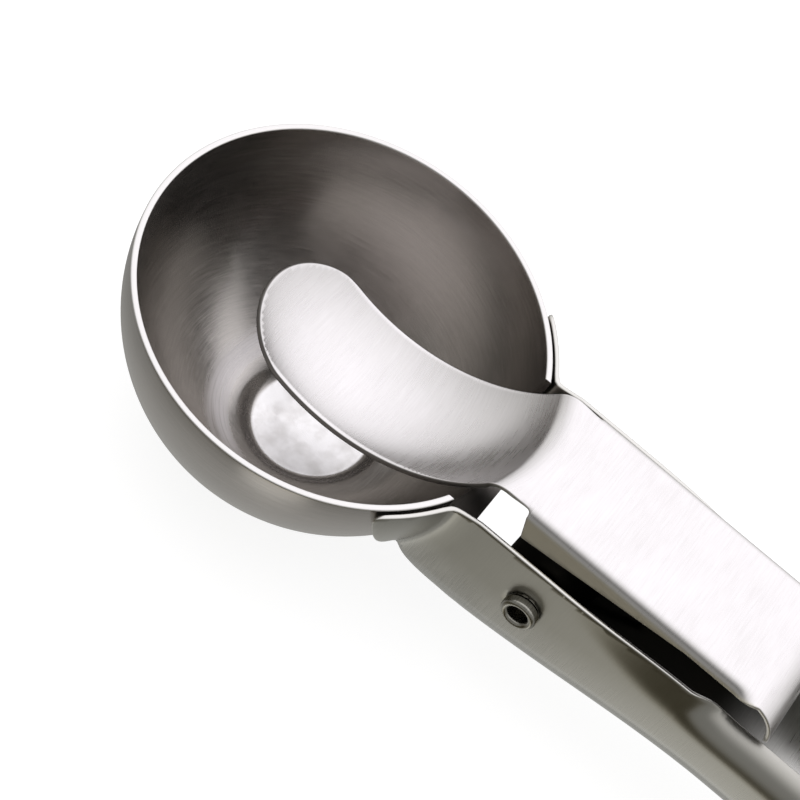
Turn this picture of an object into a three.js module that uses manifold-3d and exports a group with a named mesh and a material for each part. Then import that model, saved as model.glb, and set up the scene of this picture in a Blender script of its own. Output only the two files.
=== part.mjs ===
// Ice cream scoop with a thumb lever: a round pressed bowl, a folded sheet handle whose two ears wrap the
// bowl, and a lever that lifts a dished tongue off the inside of the bowl. All of it is stainless steel.
// Millimetres, +Z up. The scoop is drawn from the back of the bowl's rim, with the handle along +X and the
// lever pressed home, and is then set down with the middle of its underside at the origin.
import * as THREE from 'three';
import { mergeVertices } from 'three/addons/utils/BufferGeometryUtils.js';
import Module from 'manifold-3d';

// Bowl: half a sphere with a short straight band up to its rim
const bowlRadius = 25;
const bowlSheet = 0.8;
const rimBand = 0.6;
const bowlBaseFlatRadius = 3;
const notchDepth = 6;
const notchLipReach = 2.4;

// Handle: one folded sheet, with lengths counted from the back of the bowl's rim and heights from its plane
const handleWidth = 23.6;
const handleSheet = 0.6;
const handleEndWidth = 19;
const wallTop = 0.6;
const floorFront = -17.1;
const floorRear = -12.9;
const floorRiseStart = 2.2;
const floorRiseEnd = 40.2;
const floorCornerRadius = 4;
const floorMouth = 7.7;
const cheekBottom = -14.9;
const cheekBottomAtBowl = -12.4;
const mouthCurve = 3;

// Rolled grip: the upper strip of each wall leans in behind the pivot and then rolls over into a lip
const leanStart = 11.2;
const leanAngle = 12;
const rollStart = 31.2;
const rollEnd = 38.7;
const rollStrip = 5.3;
const leastRollStrip = 0.8;
const rollAngle = 90;

// Rear of the handle
const bendStart = 40.2;
const bendLength = 46;
const handleLength = 133.2;
const taperStart = 52.2;
const wallRunOut = 42;
const tabLength = 15;
const tabEdgeHeight = 1.5;
const hangHoleRadius = 4;
const hangHoleInset = 9;

// Ears that wrap the outside of the bowl, reaching forward from the crease where they leave the walls
const earReach = 6.2;
const earSlant = 2.8;
const earTop = -0.2;
const earCornerRadius = 1.2;
const earHeelRadius = 4;
const earTopRamp = 3.5;

// Lever
const pivotX = 11.4;
const pivotZ = -6.5;
const pressAngle = 25;
const leverSheet = 0.6;
const plateTop = 4.2;
const leverBendRadius = 1.5;
const flangeFront = 5;
const flangeSlant = 0.9;
const flangeDepthFront = 4.3;
const flangeDepthRear = 1.3;
const flangeThinFrom = 28.2;
const flangeEnd = 37.2;
const flangeRunOut = 2.5;
const lugRadius = 5.5;
const lugRecess = 0.5;
const tongueInset = 0.8;
const tongueRootInset = 0.75;
const tongueTipAngle = -14.4;
const tongueBendRadius = 3;
const thumbCurlRadius = 4.4;
const thumbCurlAngle = 75;

// Pivot rivet, washers and return spring
const rivetRadius = 1.8;
const rivetHoleRadius = 1.3;
const rivetHoleDepth = 5;
const rivetRollRadius = 2.3;
const rivetRollHeight = 1.2;
const rivetHeadRadius = 3.2;
const rivetHeadHeight = 1.2;
const washerRadius = 3.8;
const washerThickness = 2;
const springWire = 0.9;
const springCoilRadius = 3;
const springPitch = 1.45;
const springTurns = 4;
const springLegLength = 13;

// Clearances
const seatGap = 0.3;
const pivotClearance = 0.2;
const tongueClearance = 0.55;

// Finish: colour and roughness of the steel
const bowlSteel = { color: 0xb9b6b2, roughness: 0.28 };
const handleSteel = { color: 0x9d9c97, roughness: 0.32 };
const leverSteel = { color: 0xd9d7d9, roughness: 0.3 };
const pivotSteel = { color: 0x99978f, roughness: 0.27 };
const springSteel = { color: 0x77766f, roughness: 0.3 };

// Fineness
const roundSteps = 64;
const bowlSteps = 13;
const smallRoundSteps = 24;
const cornerSteps = 4;
const tipSteps = 7;
const tipStartAngle = 8;
const dishSteps = 9;
const leanStations = 5;
const rollStations = 6;
const bendStations = 6;
const rearStations = 5;
const springStepsPerTurn = 8;
const springSides = 5;
const weldDistance = 1e-5;

const wasm = await Module();
wasm.setup();

const degrees = THREE.MathUtils.degToRad;
const smooth = THREE.MathUtils.smoothstep;
const mix = THREE.MathUtils.lerp;
const farOut = 4 * handleLength;

// Closed geometry as a solid that can be joined and cut
function solid(geometry) {
  geometry.deleteAttribute('normal');
  geometry.deleteAttribute('uv');
  const merged = mergeVertices(geometry, weldDistance);
  const vertProperties = new Float32Array(merged.attributes.position.array);
  const triVerts = new Uint32Array(merged.index.array);
  return new wasm.Manifold(new wasm.Mesh({ numProp: 3, vertProperties, triVerts }));
}

function steelMesh(name, shape, steel) {
  const { vertProperties, triVerts } = shape.getMesh();
  const geometry = new THREE.BufferGeometry();
  geometry.setAttribute('position', new THREE.BufferAttribute(vertProperties, 3));
  geometry.setIndex(new THREE.BufferAttribute(triVerts, 1));
  geometry.computeVertexNormals();
  const mesh = new THREE.Mesh(geometry, new THREE.MeshStandardMaterial({ ...steel, metalness: 1 }));
  mesh.name = name;
  return mesh;
}

// Sheet of metal between two grids of points: rows run along X, points of a row along Y, upper faces up
function sheet(upper, lower) {
  const rows = upper.length;
  const columns = upper[0].length;
  const points = [...upper.flat(), ...lower.flat()];
  const top = (i, j) => i * columns + j;
  const bottom = (i, j) => rows * columns + i * columns + j;
  const index = [];
  const quad = (a, b, c, d) => index.push(a, b, c, a, c, d);
  for (let i = 0; i < rows - 1; i += 1) {
    for (let j = 0; j < columns - 1; j += 1) {
      quad(top(i, j), top(i + 1, j), top(i + 1, j + 1), top(i, j + 1));
      quad(bottom(i, j), bottom(i, j + 1), bottom(i + 1, j + 1), bottom(i + 1, j));
    }
    const last = columns - 1;
    quad(top(i, 0), bottom(i, 0), bottom(i + 1, 0), top(i + 1, 0));
    quad(top(i, last), top(i + 1, last), bottom(i + 1, last), bottom(i, last));
  }
  for (let j = 0; j < columns - 1; j += 1) {
    const end = rows - 1;
    quad(top(0, j), top(0, j + 1), bottom(0, j + 1), bottom(0, j));
    quad(top(end, j), bottom(end, j), bottom(end, j + 1), top(end, j + 1));
  }
  const geometry = new THREE.BufferGeometry().setFromPoints(points);
  geometry.setIndex(index);
  return solid(geometry);
}

// Outline in X and Z, given depth from low to high in Y and then put in its place
function sidePrism(outline, low, high, place = new THREE.Matrix4()) {
  const geometry = new THREE.ExtrudeGeometry(outline, {
    depth: high - low,
    bevelEnabled: false,
    curveSegments: 2 * cornerSteps,
  });
  geometry.rotateX(Math.PI / 2);
  geometry.translate(0, high, 0);
  return solid(geometry.applyMatrix4(place));
}

// Outline in Y and Z, given length from low to high in X
function crossPrism(outline, low, high) {
  const geometry = new THREE.ExtrudeGeometry(outline, {
    depth: high - low,
    bevelEnabled: false,
    curveSegments: cornerSteps,
  });
  const axes = new THREE.Matrix4().makeBasis(
    new THREE.Vector3(0, 1, 0), new THREE.Vector3(0, 0, 1), new THREE.Vector3(1, 0, 0));
  geometry.applyMatrix4(axes);
  geometry.translate(low, 0, 0);
  return solid(geometry);
}

// Outline in X and Y, given height from low to high in Z and then put in its place
function planPrism(outline, low, high, place) {
  const geometry = new THREE.ExtrudeGeometry(outline, {
    depth: high - low,
    bevelEnabled: false,
    curveSegments: 2 * cornerSteps,
  });
  geometry.translate(0, 0, low);
  return solid(geometry.applyMatrix4(place));
}

function block(lowX, highX, lowY, highY, lowZ, highZ) {
  const geometry = new THREE.BoxGeometry(highX - lowX, highY - lowY, highZ - lowZ);
  geometry.translate((lowX + highX) / 2, (lowY + highY) / 2, (lowZ + highZ) / 2);
  return solid(geometry);
}

// Round bar along Y on the pivot's axis
function pivotBar(radius, low, high) {
  const geometry = new THREE.CylinderGeometry(radius, radius, high - low, smallRoundSteps);
  geometry.translate(pivotX, (low + high) / 2, pivotZ);
  return solid(geometry);
}

function ballAtBowl(radius) {
  const geometry = new THREE.SphereGeometry(radius, roundSteps, roundSteps / 2);
  geometry.rotateX(Math.PI / 2);
  geometry.translate(bowlX, 0, -rimBand);
  return solid(geometry);
}

const bowlOuterRadius = bowlRadius + bowlSheet;
const bowlX = -bowlOuterRadius;
const baseLevel = -rimBand - Math.sqrt(bowlOuterRadius ** 2 - bowlBaseFlatRadius ** 2);
const handleHalf = handleWidth / 2;
const channelHalf = handleHalf - handleSheet;
const lugHalf = channelHalf - washerThickness - 2 * seatGap;
const leverHalf = lugHalf + lugRecess;
const leverWidth = 2 * leverHalf;

// Spun profile of the bowl: up the outside from the middle of the base to the rim, and down the inside
function bowlShell() {
  const profile = [new THREE.Vector2(0, baseLevel)];
  const innerFlat = bowlBaseFlatRadius * bowlRadius / bowlOuterRadius;
  const climb = (radius, flat, step) => {
    const angle = mix(Math.asin(flat / radius), Math.PI / 2, step / bowlSteps);
    return new THREE.Vector2(radius * Math.sin(angle), -rimBand - radius * Math.cos(angle));
  };
  for (let step = 0; step <= bowlSteps; step += 1) {
    profile.push(climb(bowlOuterRadius, bowlBaseFlatRadius, step));
  }
  profile.push(new THREE.Vector2(bowlOuterRadius, 0));
  profile.push(new THREE.Vector2(bowlRadius, 0));
  for (let step = bowlSteps; step >= 0; step -= 1) {
    profile.push(climb(bowlRadius, innerFlat, step));
  }
  profile.push(new THREE.Vector2(0, profile.at(-1).y));
  const geometry = new THREE.LatheGeometry(profile, roundSteps);
  geometry.rotateX(Math.PI / 2);
  geometry.translate(bowlX, 0, 0);
  return solid(geometry);
}

// The rim is cut away where the lever passes, and the sheet below is folded out into a straight lip
function bowl() {
  const notchHalf = channelHalf - seatGap;
  const notch = block(bowlX, farOut, -notchHalf, notchHalf, -notchDepth, farOut);
  const wallAtLip = Math.sqrt(bowlRadius ** 2 - (notchDepth - rimBand) ** 2);
  const lipEdge = bowlX + wallAtLip + notchLipReach;
  const lip = block(bowlX, lipEdge, -notchHalf, notchHalf, -notchDepth - bowlSheet, -notchDepth);
  return bowlShell().subtract(notch).add(lip.subtract(ballAtBowl(bowlRadius)));
}

// The ears lie on a ball round the bowl, which meets the walls in a crease
const earInner = bowlOuterRadius + seatGap;
const creaseTop = bowlX + Math.sqrt((earInner + handleSheet) ** 2 - handleHalf ** 2);
const earFront = creaseTop - earReach;
const earHeel = earFront + earSlant;

// The handle's run: straight to the bend, round it, and on until its end is level with the bowl's base
const handleDrop = floorRear - baseLevel;
const straightRear = handleLength - bendStart - bendLength;
const bendAngle = Math.asin(handleDrop / (bendLength / 2 + straightRear));
const bendRadius = bendLength / bendAngle;

function alongHandle(distance) {
  const turned = THREE.MathUtils.clamp((distance - bendStart) / bendLength, 0, 1) * bendAngle;
  const ahead = Math.max(distance - bendStart - bendLength, 0);
  const start = Math.min(distance, bendStart);
  return {
    x: start + bendRadius * Math.sin(turned) + ahead * Math.cos(turned),
    z: -bendRadius * (1 - Math.cos(turned)) - ahead * Math.sin(turned),
    turned,
  };
}

// A point of the handle's section at a distance along it, set across it by y and above the run by height
function handlePoint(distance, y, height) {
  const run = alongHandle(distance);
  return new THREE.Vector3(run.x + height * Math.sin(run.turned), y, run.z + height * Math.cos(run.turned));
}

// Half of the outside of the folded sheet, from the middle of the floor to the lip, with outward directions
function halfSection(distance) {
  const half = mix(handleHalf, handleEndWidth / 2, smooth(distance, taperStart, handleLength));
  const floor = mix(floorFront, floorRear, smooth(distance, floorRiseStart, floorRiseEnd));
  const grown = THREE.MathUtils.clamp((distance - leanStart) / (rollStart - leanStart), 0, 1);
  const strip = mix(leastRollStrip, rollStrip, Math.sin(grown * Math.PI / 2));
  const lean = degrees(leanAngle) * smooth(distance, leanStart, rollStart);
  const roll = degrees(rollAngle - leanAngle) * smooth(distance, rollStart, rollEnd);
  const curl = lean + roll;
  const section = [{ y: 0, height: floor, facing: -Math.PI / 2 }];
  for (let step = 0; step <= cornerSteps; step += 1) {
    const facing = -Math.PI / 2 * (1 - step / cornerSteps);
    section.push({
      y: half - floorCornerRadius * (1 - Math.cos(facing)),
      height: floor + floorCornerRadius * (1 + Math.sin(facing)),
      facing,
    });
  }
  for (let step = 0; step <= cornerSteps; step += 1) {
    const facing = curl * step / cornerSteps;
    const reach = strip * step / cornerSteps;
    section.push({
      y: half - (facing > 0 ? reach * (1 - Math.cos(facing)) / facing : 0),
      height: wallTop - strip + (facing > 0 ? reach * Math.sin(facing) / facing : reach),
      facing,
    });
  }
  return section;
}

function handleRow(distance, depth) {
  const half = halfSection(distance);
  const place = (side) => ({ y, height, facing }) => handlePoint(
    distance, side * (y - depth * Math.cos(facing)), height - depth * Math.sin(facing));
  return [...half.slice(1).reverse().map(place(-1)), ...half.map(place(1))];
}

// Distances at which the handle's section is drawn, closer together where it rolls
function handleStations() {
  const straight = [earFront - earCornerRadius, floorMouth, leanStart];
  const spread = (from, to, count) => Array.from({ length: count }, (_, k) => mix(from, to, (k + 1) / count));
  return [
    ...straight,
    ...spread(leanStart, rollStart, leanStations),
    ...spread(rollStart, rollEnd, rollStations),
    ...spread(rollEnd, bendStart + bendLength, bendStations),
    ...spread(bendStart + bendLength, handleLength, rearStations),
  ];
}

function foldedSheet() {
  const stations = handleStations();
  return sheet(
    stations.map((distance) => handleRow(distance, handleSheet)),
    stations.map((distance) => handleRow(distance, 0)));
}

// The floor stops short of the bowl, so that each wall ends in a cheek with its own lower edge
function floorOpening() {
  const outline = new THREE.Shape();
  const cheekStart = floorMouth - 2 * mouthCurve;
  outline.moveTo(-farOut, -farOut);
  outline.lineTo(floorMouth, -farOut);
  outline.lineTo(floorMouth, floorFront);
  outline.quadraticCurveTo(floorMouth - mouthCurve, cheekBottom, cheekStart, cheekBottom);
  outline.quadraticCurveTo((earHeel + cheekStart) / 2, cheekBottom, earHeel, cheekBottomAtBowl);
  outline.lineTo(-farOut, cheekBottomAtBowl);
  outline.closePath();
  return sidePrism(outline, -handleWidth, handleWidth);
}

// Above the ears the walls' top edge drops to just below the rim
function cheekTopCut() {
  const outline = new THREE.Shape();
  outline.moveTo(-farOut, farOut);
  outline.lineTo(-farOut, earTop);
  outline.lineTo(creaseTop, earTop);
  outline.lineTo(creaseTop + earTopRamp, wallTop);
  outline.lineTo(creaseTop + earTopRamp, farOut);
  outline.closePath();
  return sidePrism(outline, -handleWidth, handleWidth);
}

// One ear lies on the bowl from the wall forward, and its front edge slants back to a round heel
function ears() {
  const outline = new THREE.Shape();
  const height = earTop - cheekBottomAtBowl;
  const frontAt = (below) => earFront + earSlant * below / height;
  outline.moveTo(0, earTop);
  outline.lineTo(earFront + earCornerRadius, earTop);
  outline.quadraticCurveTo(earFront, earTop, frontAt(earCornerRadius), earTop - earCornerRadius);
  outline.lineTo(frontAt(height - earHeelRadius), cheekBottomAtBowl + earHeelRadius);
  outline.quadraticCurveTo(earHeel, cheekBottomAtBowl, earHeel + earHeelRadius, cheekBottomAtBowl);
  outline.lineTo(0, cheekBottomAtBowl);
  outline.closePath();
  const shell = ballAtBowl(earInner + handleSheet).subtract(ballAtBowl(earInner));
  const near = shell.intersect(sidePrism(outline, -farOut, -channelHalf));
  const far = shell.intersect(sidePrism(outline, channelHalf, farOut));
  return near.add(far);
}

// The walls run down to a flat tab with a round end and a hole to hang the scoop by
// The cuts are drawn level, counted from the end of the handle, and then turned down with it
function tabCuts() {
  const end = alongHandle(handleLength);
  const place = new THREE.Matrix4().makeRotationY(end.turned).setPosition(end.x, 0, end.z);
  const tabTop = floorRear + handleSheet + tabEdgeHeight;
  const runOut = -tabLength - wallRunOut;
  const runMiddle = -tabLength - wallRunOut / 2;
  const over = new THREE.Shape();
  over.moveTo(runOut, wallTop);
  over.bezierCurveTo(runMiddle, wallTop, runMiddle, tabTop, -tabLength, tabTop);
  over.lineTo(handleWidth, tabTop);
  over.lineTo(handleWidth, wallTop + handleWidth);
  over.lineTo(runOut, wallTop + handleWidth);
  over.closePath();
  const round = handleEndWidth / 2;
  const beyond = new THREE.Shape();
  beyond.moveTo(-round, round);
  beyond.absarc(-round, 0, round, Math.PI / 2, -Math.PI / 2, true);
  beyond.lineTo(-round, -handleWidth);
  beyond.lineTo(handleWidth, -handleWidth);
  beyond.lineTo(handleWidth, handleWidth);
  beyond.lineTo(-round, handleWidth);
  beyond.closePath();
  const hole = new THREE.CylinderGeometry(hangHoleRadius, hangHoleRadius, handleWidth, smallRoundSteps);
  hole.rotateX(Math.PI / 2);
  hole.translate(-hangHoleInset, 0, floorRear);
  return sidePrism(over, -handleWidth, handleWidth, place)
    .add(planPrism(beyond, floorFront - handleWidth, wallTop + handleWidth, place))
    .add(solid(hole.applyMatrix4(place)));
}

function handle() {
  return foldedSheet()
    .subtract(floorOpening())
    .subtract(cheekTopCut())
    .subtract(ballAtBowl(earInner))
    .add(ears())
    .subtract(pivotBar(rivetRadius + pivotClearance, -handleWidth, handleWidth))
    .subtract(tabCuts());
}

// Middle of the sphere of the tongue's upper face, carried round the pivot as the lever is pressed
const tongueTopRadius = bowlRadius - tongueClearance - leverSheet;
const pressed = degrees(pressAngle);
const bowlAhead = pivotX - bowlX;
const bowlAbove = -rimBand - pivotZ;
const dishX = pivotX - bowlAhead * Math.cos(pressed) + bowlAbove * Math.sin(pressed);
const dishZ = pivotZ + bowlAhead * Math.sin(pressed) + bowlAbove * Math.cos(pressed);
const plateJoin = flangeFront + leverSheet;

// A point of the tongue at y, on its upper face or a depth below it
// The place runs from 0 at the tip over the dish to 1, round the bend to 2, and along the plate to 3
function tonguePoint(place, y, depth) {
  const dish = Math.sqrt(tongueTopRadius ** 2 - y ** 2);
  const bendZ = plateTop - tongueBendRadius;
  const bendTurn = Math.acos((dishZ - bendZ) / (dish + tongueBendRadius));
  const bendX = dishX + (dish + tongueBendRadius) * Math.sin(bendTurn);
  if (place <= 1) {
    const turn = mix(degrees(tongueTipAngle - pressAngle), bendTurn, place);
    const grow = 1 + depth / tongueTopRadius;
    return new THREE.Vector3(
      dishX + dish * grow * Math.sin(turn), y * grow, dishZ - dish * grow * Math.cos(turn));
  }
  if (place <= 2) {
    const turn = bendTurn * (2 - place);
    const radius = tongueBendRadius - depth;
    return new THREE.Vector3(bendX - radius * Math.sin(turn), y, bendZ + radius * Math.cos(turn));
  }
  return new THREE.Vector3(mix(bendX, plateJoin, place - 2), y, plateTop - depth);
}

// Rows of the tongue: a round tip, the dish, the bend and the start of the plate
function tongueRows() {
  const tipRadius = leverHalf - tongueInset;
  const rootHalf = leverHalf - tongueRootInset;
  const bendTurn = Math.acos((dishZ - plateTop + tongueBendRadius) / (tongueTopRadius + tongueBendRadius));
  const dishLength = tongueTopRadius * (bendTurn - degrees(tongueTipAngle - pressAngle));
  const rows = [];
  for (let step = 0; step <= tipSteps; step += 1) {
    const turn = mix(degrees(tipStartAngle), Math.PI / 2, step / tipSteps);
    rows.push({ place: tipRadius * (1 - Math.cos(turn)) / dishLength, half: tipRadius * Math.sin(turn) });
  }
  const tipPlace = tipRadius / dishLength;
  for (let step = 1; step <= dishSteps; step += 1) {
    const along = step / dishSteps;
    rows.push({ place: mix(tipPlace, 1, along), half: mix(tipRadius, rootHalf, along ** 2) });
  }
  for (let step = 1; step <= cornerSteps; step += 1) {
    rows.push({ place: 1 + step / cornerSteps, half: rootHalf });
  }
  rows.push({ place: 3, half: rootHalf });
  return rows;
}

function tongue() {
  const across = Array.from({ length: 2 * cornerSteps + 1 }, (_, k) => k / cornerSteps - 1);
  const face = (depth) => tongueRows().map(
    ({ place, half }) => across.map((share) => tonguePoint(place, share * half, depth)));
  return sheet(face(0), face(leverSheet));
}

// Section of the lever's plate with its two flanges turned down
function plateSection() {
  const outline = new THREE.Shape();
  const low = plateTop - flangeDepthFront - leverSheet;
  const inner = leverHalf - leverSheet;
  const innerRadius = leverBendRadius - leverSheet;
  const bendY = leverHalf - leverBendRadius;
  const bendZ = plateTop - leverBendRadius;
  outline.moveTo(-leverHalf, low);
  outline.lineTo(-inner, low);
  outline.lineTo(-inner, bendZ);
  outline.absarc(-bendY, bendZ, innerRadius, Math.PI, Math.PI / 2, true);
  outline.lineTo(bendY, plateTop - leverSheet);
  outline.absarc(bendY, bendZ, innerRadius, Math.PI / 2, 0, true);
  outline.lineTo(inner, low);
  outline.lineTo(leverHalf, low);
  outline.lineTo(leverHalf, bendZ);
  outline.absarc(bendY, bendZ, leverBendRadius, 0, Math.PI / 2, false);
  outline.lineTo(-bendY, plateTop);
  outline.absarc(-bendY, bendZ, leverBendRadius, Math.PI / 2, Math.PI, false);
  outline.closePath();
  return outline;
}

// Side of the lever: the flange is deepest at its slanted front and thins out towards the thumb's end
function leverSide() {
  const outline = new THREE.Shape();
  const bottomRear = plateTop - flangeDepthRear;
  outline.moveTo(flangeFront, plateTop + leverSheet);
  outline.lineTo(flangeFront, plateTop - leverBendRadius);
  outline.lineTo(flangeFront + flangeSlant, plateTop - flangeDepthFront);
  outline.lineTo(flangeThinFrom, bottomRear);
  outline.lineTo(flangeEnd - flangeRunOut, bottomRear);
  outline.quadraticCurveTo(flangeEnd, bottomRear, flangeEnd, plateTop - leverSheet);
  outline.lineTo(flangeEnd, plateTop + leverSheet);
  outline.closePath();
  return sidePrism(outline, -leverWidth, leverWidth);
}

// Two lugs for the pivot, set in behind the flanges and joined to them, reach down round the rivet
function pivotLugs() {
  const outline = new THREE.Shape();
  const top = plateTop - leverBendRadius;
  outline.moveTo(pivotX - lugRadius, top);
  outline.lineTo(pivotX - lugRadius, pivotZ);
  outline.absarc(pivotX, pivotZ, lugRadius, Math.PI, 2 * Math.PI, false);
  outline.lineTo(pivotX + lugRadius, top);
  outline.closePath();
  const inner = lugHalf - leverSheet;
  return sidePrism(outline, -lugHalf, -inner).add(sidePrism(outline, inner, lugHalf));
}

// Behind the flanges the plate curls down for the thumb, and its edge lands on the lips of the grip
function thumbEnd() {
  const lipTop = wallTop - rollStrip + rollStrip / degrees(rollAngle);
  const edge = lipTop + seatGap;
  const curl = degrees(thumbCurlAngle);
  const curlEnd = plateTop - thumbCurlRadius + (thumbCurlRadius - leverSheet) * Math.cos(curl);
  const tail = (curlEnd - edge) / Math.sin(curl);
  const point = (turn, ahead, depth, y) => new THREE.Vector3(
    flangeEnd + (thumbCurlRadius - depth) * Math.sin(turn) + ahead * Math.cos(turn),
    y,
    plateTop - thumbCurlRadius + (thumbCurlRadius - depth) * Math.cos(turn) - ahead * Math.sin(turn));
  const rows = [{ turn: 0, ahead: -leverSheet }];
  for (let step = 0; step <= cornerSteps; step += 1) {
    rows.push({ turn: curl * step / cornerSteps, ahead: 0 });
  }
  rows.push({ turn: curl, ahead: tail });
  const face = (depth) => rows.map(
    ({ turn, ahead }) => [-leverHalf, leverHalf].map((y) => point(turn, ahead, depth, y)));
  return sheet(face(0), face(leverSheet));
}

function lever() {
  return crossPrism(plateSection(), flangeFront, flangeEnd)
    .intersect(leverSide())
    .add(pivotLugs())
    .add(tongue())
    .add(thumbEnd())
    .subtract(pivotBar(rivetRadius + pivotClearance, -leverWidth, leverWidth));
}

// Turned profile about the pivot's axis, with heights along Y, or against it on the near side
function turnedOnPivot(profile, nearSide = false) {
  const geometry = new THREE.LatheGeometry(profile, smallRoundSteps);
  geometry.rotateX(nearSide ? Math.PI : 0);
  geometry.translate(pivotX, 0, pivotZ);
  return solid(geometry);
}

// Half-tubular rivet: a low head on the far wall and a rolled-over hollow end on the near one
function rivet() {
  const nearFace = -handleHalf - seatGap;
  const farFace = handleHalf + seatGap;
  const nearEnd = nearFace - rivetRollHeight;
  const rollMiddle = (rivetHoleRadius + rivetRollRadius) / 2;
  const rollHalf = (rivetRollRadius - rivetHoleRadius) / 2;
  const profile = [new THREE.Vector2(0, nearEnd + rivetHoleDepth)];
  profile.push(new THREE.Vector2(rivetHoleRadius, nearEnd + rivetHoleDepth));
  for (let step = 0; step <= 2 * cornerSteps; step += 1) {
    const turn = Math.PI * (1 - step / (2 * cornerSteps));
    profile.push(new THREE.Vector2(
      rollMiddle + rollHalf * Math.cos(turn), nearEnd + rollHalf - rollHalf * Math.sin(turn)));
  }
  profile.push(new THREE.Vector2(rivetRollRadius, nearFace));
  profile.push(new THREE.Vector2(rivetRadius, nearFace));
  profile.push(new THREE.Vector2(rivetRadius, farFace));
  for (let step = 0; step <= cornerSteps; step += 1) {
    const turn = Math.PI / 2 * step / cornerSteps;
    profile.push(new THREE.Vector2(
      rivetHeadRadius * Math.cos(turn), farFace + rivetHeadHeight * Math.sin(turn)));
  }
  profile[profile.length - 1].x = 0;
  return turnedOnPivot(profile);
}

// Washers fill the space between the lever's lugs and the walls, so that the lever stays in the middle
function washer(nearSide) {
  const near = lugHalf + seatGap;
  const far = near + washerThickness;
  const bore = rivetRadius + pivotClearance;
  const profile = [
    new THREE.Vector2(bore, near),
    new THREE.Vector2(washerRadius, near),
    new THREE.Vector2(washerRadius, far),
    new THREE.Vector2(bore, far),
    new THREE.Vector2(bore, near),
  ];
  return turnedOnPivot(profile, nearSide);
}

// Torsion spring: a leg under the plate, the coil round the rivet, and a leg on the handle's floor
function springPath() {
  const wire = springWire / 2;
  const legX = pivotX + springLegLength;
  const upper = plateTop - leverSheet - seatGap - wire;
  const floorThere = mix(floorFront, floorRear, smooth(legX, floorRiseStart, floorRiseEnd));
  const lower = floorThere + handleSheet + seatGap + wire;
  // Directions in which the legs leave the coil, as tangents from the far ends of the legs
  const leaving = (height) => {
    const reach = Math.hypot(springLegLength, height - pivotZ);
    return { aim: Math.atan2(height - pivotZ, springLegLength), open: Math.acos(springCoilRadius / reach) };
  };
  const up = leaving(upper);
  const down = leaving(lower);
  const start = up.aim + up.open;
  const finish = down.aim - down.open - 2 * Math.PI * (springTurns - 1);
  const coilLength = springPitch * (start - finish) / (2 * Math.PI);
  const steps = Math.round((start - finish) / (2 * Math.PI) * springStepsPerTurn);
  const points = [new THREE.Vector3(legX, -coilLength / 2, upper)];
  for (let step = 0; step <= steps; step += 1) {
    const turn = mix(start, finish, step / steps);
    points.push(new THREE.Vector3(
      pivotX + springCoilRadius * Math.cos(turn),
      mix(-coilLength / 2, coilLength / 2, step / steps),
      pivotZ + springCoilRadius * Math.sin(turn)));
  }
  points.push(new THREE.Vector3(legX, coilLength / 2, lower));
  return points;
}

// Round tube along a row of points, with a ring square to the run at each
function tube(points, radius, sides) {
  const axis = new THREE.Vector3(0, 1, 0);
  const vertices = [];
  const index = [];
  points.forEach((point, k) => {
    const before = points[Math.max(k - 1, 0)];
    const after = points[Math.min(k + 1, points.length - 1)];
    const along = new THREE.Vector3().subVectors(after, before).normalize();
    const across = new THREE.Vector3().crossVectors(along, axis).normalize();
    const up = new THREE.Vector3().crossVectors(across, along);
    for (let side = 0; side < sides; side += 1) {
      const turn = 2 * Math.PI * side / sides;
      vertices.push(point.clone()
        .addScaledVector(across, radius * Math.cos(turn))
        .addScaledVector(up, radius * Math.sin(turn)));
    }
  });
  const ring = (k, side) => k * sides + side % sides;
  for (let k = 0; k < points.length - 1; k += 1) {
    for (let side = 0; side < sides; side += 1) {
      index.push(ring(k, side), ring(k + 1, side + 1), ring(k, side + 1));
      index.push(ring(k, side), ring(k + 1, side), ring(k + 1, side + 1));
    }
  }
  for (let side = 1; side < sides - 1; side += 1) {
    index.push(ring(0, 0), ring(0, side), ring(0, side + 1));
    index.push(ring(points.length - 1, 0), ring(points.length - 1, side + 1), ring(points.length - 1, side));
  }
  const geometry = new THREE.BufferGeometry().setFromPoints(vertices);
  geometry.setIndex(index);
  return geometry;
}

// Least gap of the spring's wire to itself, between points more than half a turn apart
function leastGap(points, radius) {
  let least = Infinity;
  for (let a = 0; a < points.length; a += 1) {
    for (let b = a + springStepsPerTurn / 2; b < points.length; b += 1) {
      least = Math.min(least, points[a].distanceTo(points[b]) - 2 * radius);
    }
  }
  return least;
}

function spring() {
  const points = springPath();
  console.log(`return_spring least gap to itself ${leastGap(points, springWire / 2).toFixed(2)} mm`);
  return solid(tube(points, springWire / 2, springSides));
}

const scoop = new THREE.Group();
scoop.add(steelMesh('bowl', bowl(), bowlSteel));
scoop.add(steelMesh('handle', handle(), handleSteel));
scoop.add(steelMesh('lever', lever(), leverSteel));
scoop.add(steelMesh('pivot_rivet', rivet(), pivotSteel));
scoop.add(steelMesh('pivot_washer_near', washer(true), pivotSteel));
scoop.add(steelMesh('pivot_washer_far', washer(false), pivotSteel));
scoop.add(steelMesh('return_spring', spring(), springSteel));

// Set down: the bowl's base on the ground, with the middle of the overall length over the origin
const handleEnd = alongHandle(handleLength);
const rearmost = handleEnd.x + (floorRear + handleSheet) * Math.sin(handleEnd.turned);
scoop.position.set((bowlOuterRadius - bowlX - rearmost) / 2, 0, -baseLevel);

export default scoop;
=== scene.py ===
import math

import bpy
import numpy as np
from mathutils import Matrix, Vector
from mathutils.geometry import delaunay_2d_cdt
from mathutils.kdtree import KDTree


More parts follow.
